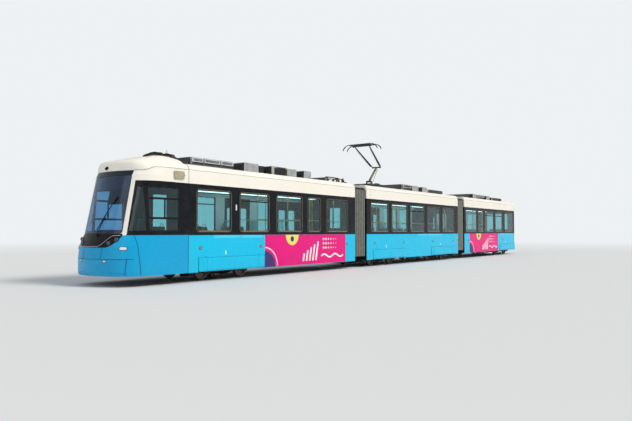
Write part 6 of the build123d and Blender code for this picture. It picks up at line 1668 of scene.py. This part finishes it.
# Bogies: coil springs over their seats, lids and bolts on the axle boxes
SPRING_X, SPRING_Y = 0.230, 0.955
WHEELBASE = 1.800
AXLE_Z = 0.332
LID_Y = 1.013
AXLE_LID = [(0.105, -0.002), (0.105, 0.012), (0.080, 0.020), (0.080, 0.012), (0.020, 0.012)]
for bogie, (owner, place) in BOGIES.items():
    bogie_x = SPAN[owner][0] - place
    coils = forms(f"{bogie}_springs", spring_steel, bogie, "bogie_paint")
    seats = [(bogie_x + end * SPRING_X, side * SPRING_Y, 0.42) for end in (-1, 1) for side in (-1, 1)]
    grow(coils, COILS, {
        "Turns": 5.0, "Radius": 0.104, "Wire": 0.012, "Height": 0.32, "Turn": (0, 0, 0), "Finish": spring_steel,
    }, seats)
    bolts = forms(f"{bogie}_bolts", zinc_steel, bogie, "bogie_paint")
    lids = forms(f"{bogie}_axle_lids", bogie_paint, bogie, "bogie_paint", 0.003)
    for end in (-1, 1):
        for side in (-1, 1):
            centre = (bogie_x + end * WHEELBASE / 2, AXLE_Z)
            turned(lids, AXLE_LID, (centre[0], side * LID_Y, centre[1]), (0, side, 0), 28)
            ring = [(u, side * 1.030, v) for u, v in disc_outline(centre, 0.092, 8)]
            heads(bolts, zinc_steel, ring, 6, 0.010, 0.012, TURN_TO_SIDE)

# Rear end: bumper, a hatch and seams
bumper = forms("tail_bumper", black_rubber, "rear", "mask_plastic", 0.008)
BUMPER_HALF_W, BUMPER_Z, BUMPER_H = 0.93, 0.50, 0.150
TAIL_STEPS = 24
strip(bumper, level_across(0, BUMPER_HALF_W, BUMPER_Z, TAIL_STEPS), BUMPER_H, 0.014, tail_at)
tail_joints = forms("tail_panel_joints", joint_shadow, "rear", "blue_paint")
strip(tail_joints, rounded(1.0, 0.50, 0.05, 6, (0, 0.98)), 0.008, SEAM_OUT, tail_at, closed=True)
strip(tail_joints, level_across(0, 0.95, BELT_Z - 0.006, TAIL_STEPS), 0.008, SEAM_OUT, tail_at)

# The rear roof's rounded end, one cream skin from the side walls round the corners and over the top edge
TAIL_TOP_R = 0.260
TAIL_SKIN_OUT, TAIL_SKIN_IN = 0.003, -0.008
corner_x, corner_y = TAIL_X + TAIL_CORNER_R + TAIL_CROWN, SIDE_Y - TAIL_CORNER_R
half_outline = [(corner_x + 0.10, SIDE_Y, 0.0, 1.0), (corner_x + 0.02, SIDE_Y, 0.0, 1.0)]
for i in range(13):
    turn = math.radians(90 + 90 * i / 12)
    ahead, aside = math.cos(turn), math.sin(turn)
    half_outline.append((corner_x + TAIL_CORNER_R * ahead, corner_y + TAIL_CORNER_R * aside, ahead, aside))
half_outline += [(tail_at(corner_y * (1 - i / 8), 0, 0).x, corner_y * (1 - i / 8), -1.0, 0.0) for i in range(1, 9)]
tail_outline = half_outline + [(x, -y, ahead, -aside) for x, y, ahead, aside in reversed(half_outline[:-1])]


def tail_roof_at(place, z, out):
    """A point of the rear roof: the plan's outline, held inside the round shoulders and the round top edge."""
    x, y, ahead, aside = place
    over = max(z - (ROOF_Z - TAIL_TOP_R), 0.0)
    least_x = TAIL_X + TAIL_TOP_R - math.sqrt(max(TAIL_TOP_R ** 2 - over ** 2, 0.0)) - out
    over = max(z - (ROOF_Z - SHOULDER_R), 0.0)
    most_y = SIDE_Y - SHOULDER_R + math.sqrt(max(SHOULDER_R ** 2 - over ** 2, 0.0)) + out
    y = y + out * aside
    y = math.copysign(min(abs(y), most_y), y)
    return (max(x + out * ahead, least_x), y, z + (out if z > ROOF_Z - 0.001 else 0.0))


tail_skin = forms("rear_roof_end_skin", cream_enamel, "rear", "cream_paint")
skin_heights = [BAND_TOP_Z + 0.002, ROOF_Z - TAIL_TOP_R]
skin_heights += [ROOF_Z - TAIL_TOP_R + TAIL_TOP_R * math.sin(math.radians(90 * i / 10)) for i in range(1, 11)]
skin(tail_skin, [
    [tail_roof_at(place, z, TAIL_SKIN_OUT) for z in skin_heights]
    + [tail_roof_at(place, z, TAIL_SKIN_IN) for z in reversed(skin_heights)]
    for place in tail_outline
])

# The tail's amber lamps in their bezels, the hatch's locks and the camera
TAIL_BEZEL = [(0, -0.001), (0.3, 0.010), (0.8, 0.012), (1, -0.001)]
tail_bezels = forms("tail_lamp_bezels", black_rubber, "rear", "mask_plastic")
tail_amber = forms("tail_amber_lenses", amber_lens, "rear", "lamp_red")
tail_locks = forms("tail_hatch_locks", black_rubber, "rear", "mask_plastic")
for side in (1, -1):
    centre = (side * 0.86, 1.16)
    round_rim(tail_bezels, centre, 0.068, 0.048, 26, TAIL_BEZEL, tail_at)
    dome(tail_amber, disc_outline(centre, 0.052, 22), 0.020, tail_at)
    lock = [(LOCK_R, -0.002), (LOCK_R, 0.004), (LOCK_R * 0.6, 0.005)]
    turned(tail_locks, lock, tail_at(side * 0.40, 0.80, 0), (-1, 0, 0), 14)
tail_camera = forms("tail_camera", black_rubber, "rear", "mask_plastic", 0.003)
TAIL_CAMERA = [(0.045, -0.004), (0.045, 0.012), (0.030, 0.03), (0.030, 0.07), (0.020, 0.072), (0.020, 0.055)]
turned(tail_camera, TAIL_CAMERA, (TAIL_X + 0.004, 0.0, 3.20), (-1, 0, -0.2), 18)

# Articulations: folded coated fabric in black end frames, and a cover with studs on each floor disc
FOLDS = 7
CLOTH = 0.006
BELLOWS_CORNER = 0.180


def bellows(name, node, end_body):
    """One folded tunnel, open below, between the middle section and an end section."""
    low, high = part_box(node)
    half, top = high.y, high.z
    path = [(half, low.z)]
    for i in range(9):
        turn = math.radians(90 * i / 8)
        path.append((half - BELLOWS_CORNER * (1 - math.cos(turn)), top - BELLOWS_CORNER * (1 - math.sin(turn))))
    path += [(-y, z) for y, z in reversed(path)]
    rings = []
    for step in range(2 * FOLDS + 1):
        x = low.x + (high.x - low.x) * step / (2 * FOLDS)
        dip = FOLD_DEPTH if step % 2 == 0 else 0.0
        loop = []
        for inset, points in ((dip, path), (dip + CLOTH, list(reversed(path)))):
            for y, z in points:
                rise = max(z - top + BELLOWS_CORNER, 0.0) / BELLOWS_CORNER
                loop.append((x, y - math.copysign(inset, y), z - inset * rise))
        rings.append(loop)
    shape = bmesh.new()
    skin(shape, rings)
    made = close_piece(name, shape, bellows_cloth, 0.0)
    near, far = (low.x, 0, 1.0), (high.x, 0, 1.0)
    if end_body == "rear_section":
        near, far = far, near
    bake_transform(made)
    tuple(near)
    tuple(far)
    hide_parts(node)


bellows("bellows_fabric_1", "bellows_1", "front_section")
bellows("bellows_fabric_2", "bellows_2", "rear_section")
END_FRAME, END_FRAME_Z = 0.022, 1.885
SHADE_APRON_Y = (1.236, 1.316)
SECTION_ENDS = (("front", 1, -1), ("middle", 0, 1), ("middle", 1, -1), ("rear", 0, 1))
for name, end, way in SECTION_ENDS:
    x = SPAN[name][end]
    frames = section_forms("bellows_end_frames", name, black_rubber, "mask_plastic", 0.002)
    outer = rounded(2 * 1.272, 3.16, 0.19, 8, (0, END_FRAME_Z))
    inner = rounded(2 * 1.235, 3.09, 0.155, 8, (0, END_FRAME_Z))
    ring_frame(frames, outer, inner, [(0, 0.0005), (0, END_FRAME), (1, END_FRAME), (1, 0.0005)], unit_end(x, way))
    # Black plates over each section's end below and beside the bellows: painted shade for the dark gap between the
    # sections
    shade_aprons = section_forms("end_shade_aprons", name, black_rubber, "mask_plastic")
    near_x, far_x = sorted((x - way * 0.002, x + way * 0.004))
    bar(shade_aprons, (near_x, -SHADE_APRON_Y[1], SKIRT_Z + 0.004), (far_x, SHADE_APRON_Y[1], FLOOR_Z - 0.004))
    for side in (1, -1):
        low_y, high_y = sorted(side * y for y in SHADE_APRON_Y)
        bar(shade_aprons, (near_x, low_y, FLOOR_Z - 0.004), (far_x, high_y, BELT_Z))
DISC_FROM_END = 0.48
for x in (SPAN["front"][1] - DISC_FROM_END, SPAN["rear"][0] + DISC_FROM_END):
    discs = forms("gangway_disc_covers", tread_metal, "middle_section", "rail_steel")
    turned(discs, [(0.596, -0.001), (0.596, 0.002), (0.560, 0.003), (0.02, 0.003)], (x, 0, FLOOR_Z), UP, 48)
    studs = forms("gangway_disc_studs", zinc_steel, "middle_section", "rail_steel")
    ring = [(u, v, FLOOR_Z + 0.004) for r in (0.2, 0.35, 0.5) for u, v in disc_outline((x, 0), r, int(r * 60))]
    heads(studs, zinc_steel, ring, 10, 0.009, 0.004)

PADDED = ("seat_pads_front", "seat_pads_middle", "seat_pads_rear", "driver_seat_pads")
for piece_name, (shape, material, body, slot, bevel) in gathered.items():
    made = close_piece(piece_name, shape, material, bevel)
    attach(made, body)
    if piece_name in PADDED:
        for polygon in made.data.polygons:
            polygon.use_smooth = True

# Floor, backdrop and lights
FLOOR_HALF = 220.0
FLOOR_NEAR, FLOOR_FAR = 24.0, 70.0
BACKDROP = "EEF1F3"
floor_mesh = bpy.data.meshes.new("studio_floor")
floor_corners = [(x * FLOOR_HALF, y * FLOOR_HALF, 0) for x, y in ((-1, -1), (1, -1), (1, 1), (-1, 1))]
floor_mesh.from_pydata(floor_corners, [], [(0, 1, 2, 3)])
studio_floor = bpy.data.objects.new("studio_floor", floor_mesh)
scene.collection.objects.link(studio_floor)
floor_finish, floor_tree, floor_shader = start_finish("pale_studio_floor", {
    "Base Color": colour("D9DBDC"), "Roughness": 0.9, "Specular IOR Level": 0.1,
})
distance = add(floor_tree, "ShaderNodeVectorMath", {"operation": "LENGTH"}, {0: object_place(floor_tree)})
faded = spread(floor_tree, distance.outputs["Value"], FLOOR_NEAR, FLOOR_FAR)
far_floor = add(floor_tree, "ShaderNodeEmission", {"Color": colour(BACKDROP), "Strength": 1.0})
floor_mix = add(floor_tree, "ShaderNodeMixShader", links={0: faded, 1: floor_shader, 2: far_floor})
floor_output = floor_tree.nodes["Material Output"]
floor_tree.links.new(floor_mix.outputs[0], floor_output.inputs["Surface"])
floor_mesh.materials.append(floor_finish)
studio_floor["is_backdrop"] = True

world = bpy.data.worlds.new("studio")
scene.world = world
world.use_nodes = True
sky = world.node_tree
sky.nodes.clear()
rays = add(sky, "ShaderNodeLightPath")
seen = add(sky, "ShaderNodeMath", {"operation": "MAXIMUM"}, {
    0: rays.outputs["Is Camera Ray"], 1: rays.outputs["Is Transmission Ray"],
})
ambient = add(sky, "ShaderNodeBackground", {"Color": colour("F3F6FA"), "Strength": 0.55})
backdrop = add(sky, "ShaderNodeBackground", {"Color": colour(BACKDROP), "Strength": 1.0})
mixed = add(sky, "ShaderNodeMixShader", links={0: seen, 1: ambient, 2: backdrop})
add(sky, "ShaderNodeOutputWorld", links={"Surface": mixed})


def sun(name, toward, strength, spread_deg, tint):
    """A soft distant lamp that shines along a direction."""
    lamp = bpy.data.lights.new(name, "SUN")
    lamp.energy = strength
    lamp.angle = math.radians(spread_deg)
    lamp.color = colour(tint)[:3]
    made = bpy.data.objects.new(name, lamp)
    scene.collection.objects.link(made)
    made.rotation_mode = "QUATERNION"
    made.rotation_quaternion = Vector(toward).to_track_quat("-Z", "Y")
    return made


sun("key_lamp", (0.25, -0.70, -0.70), 2.3, 22, "FFFAF2")
sun("fill_lamp", (-0.9, -0.1, -0.35), 0.5, 60, "EEF4FF")

low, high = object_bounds()
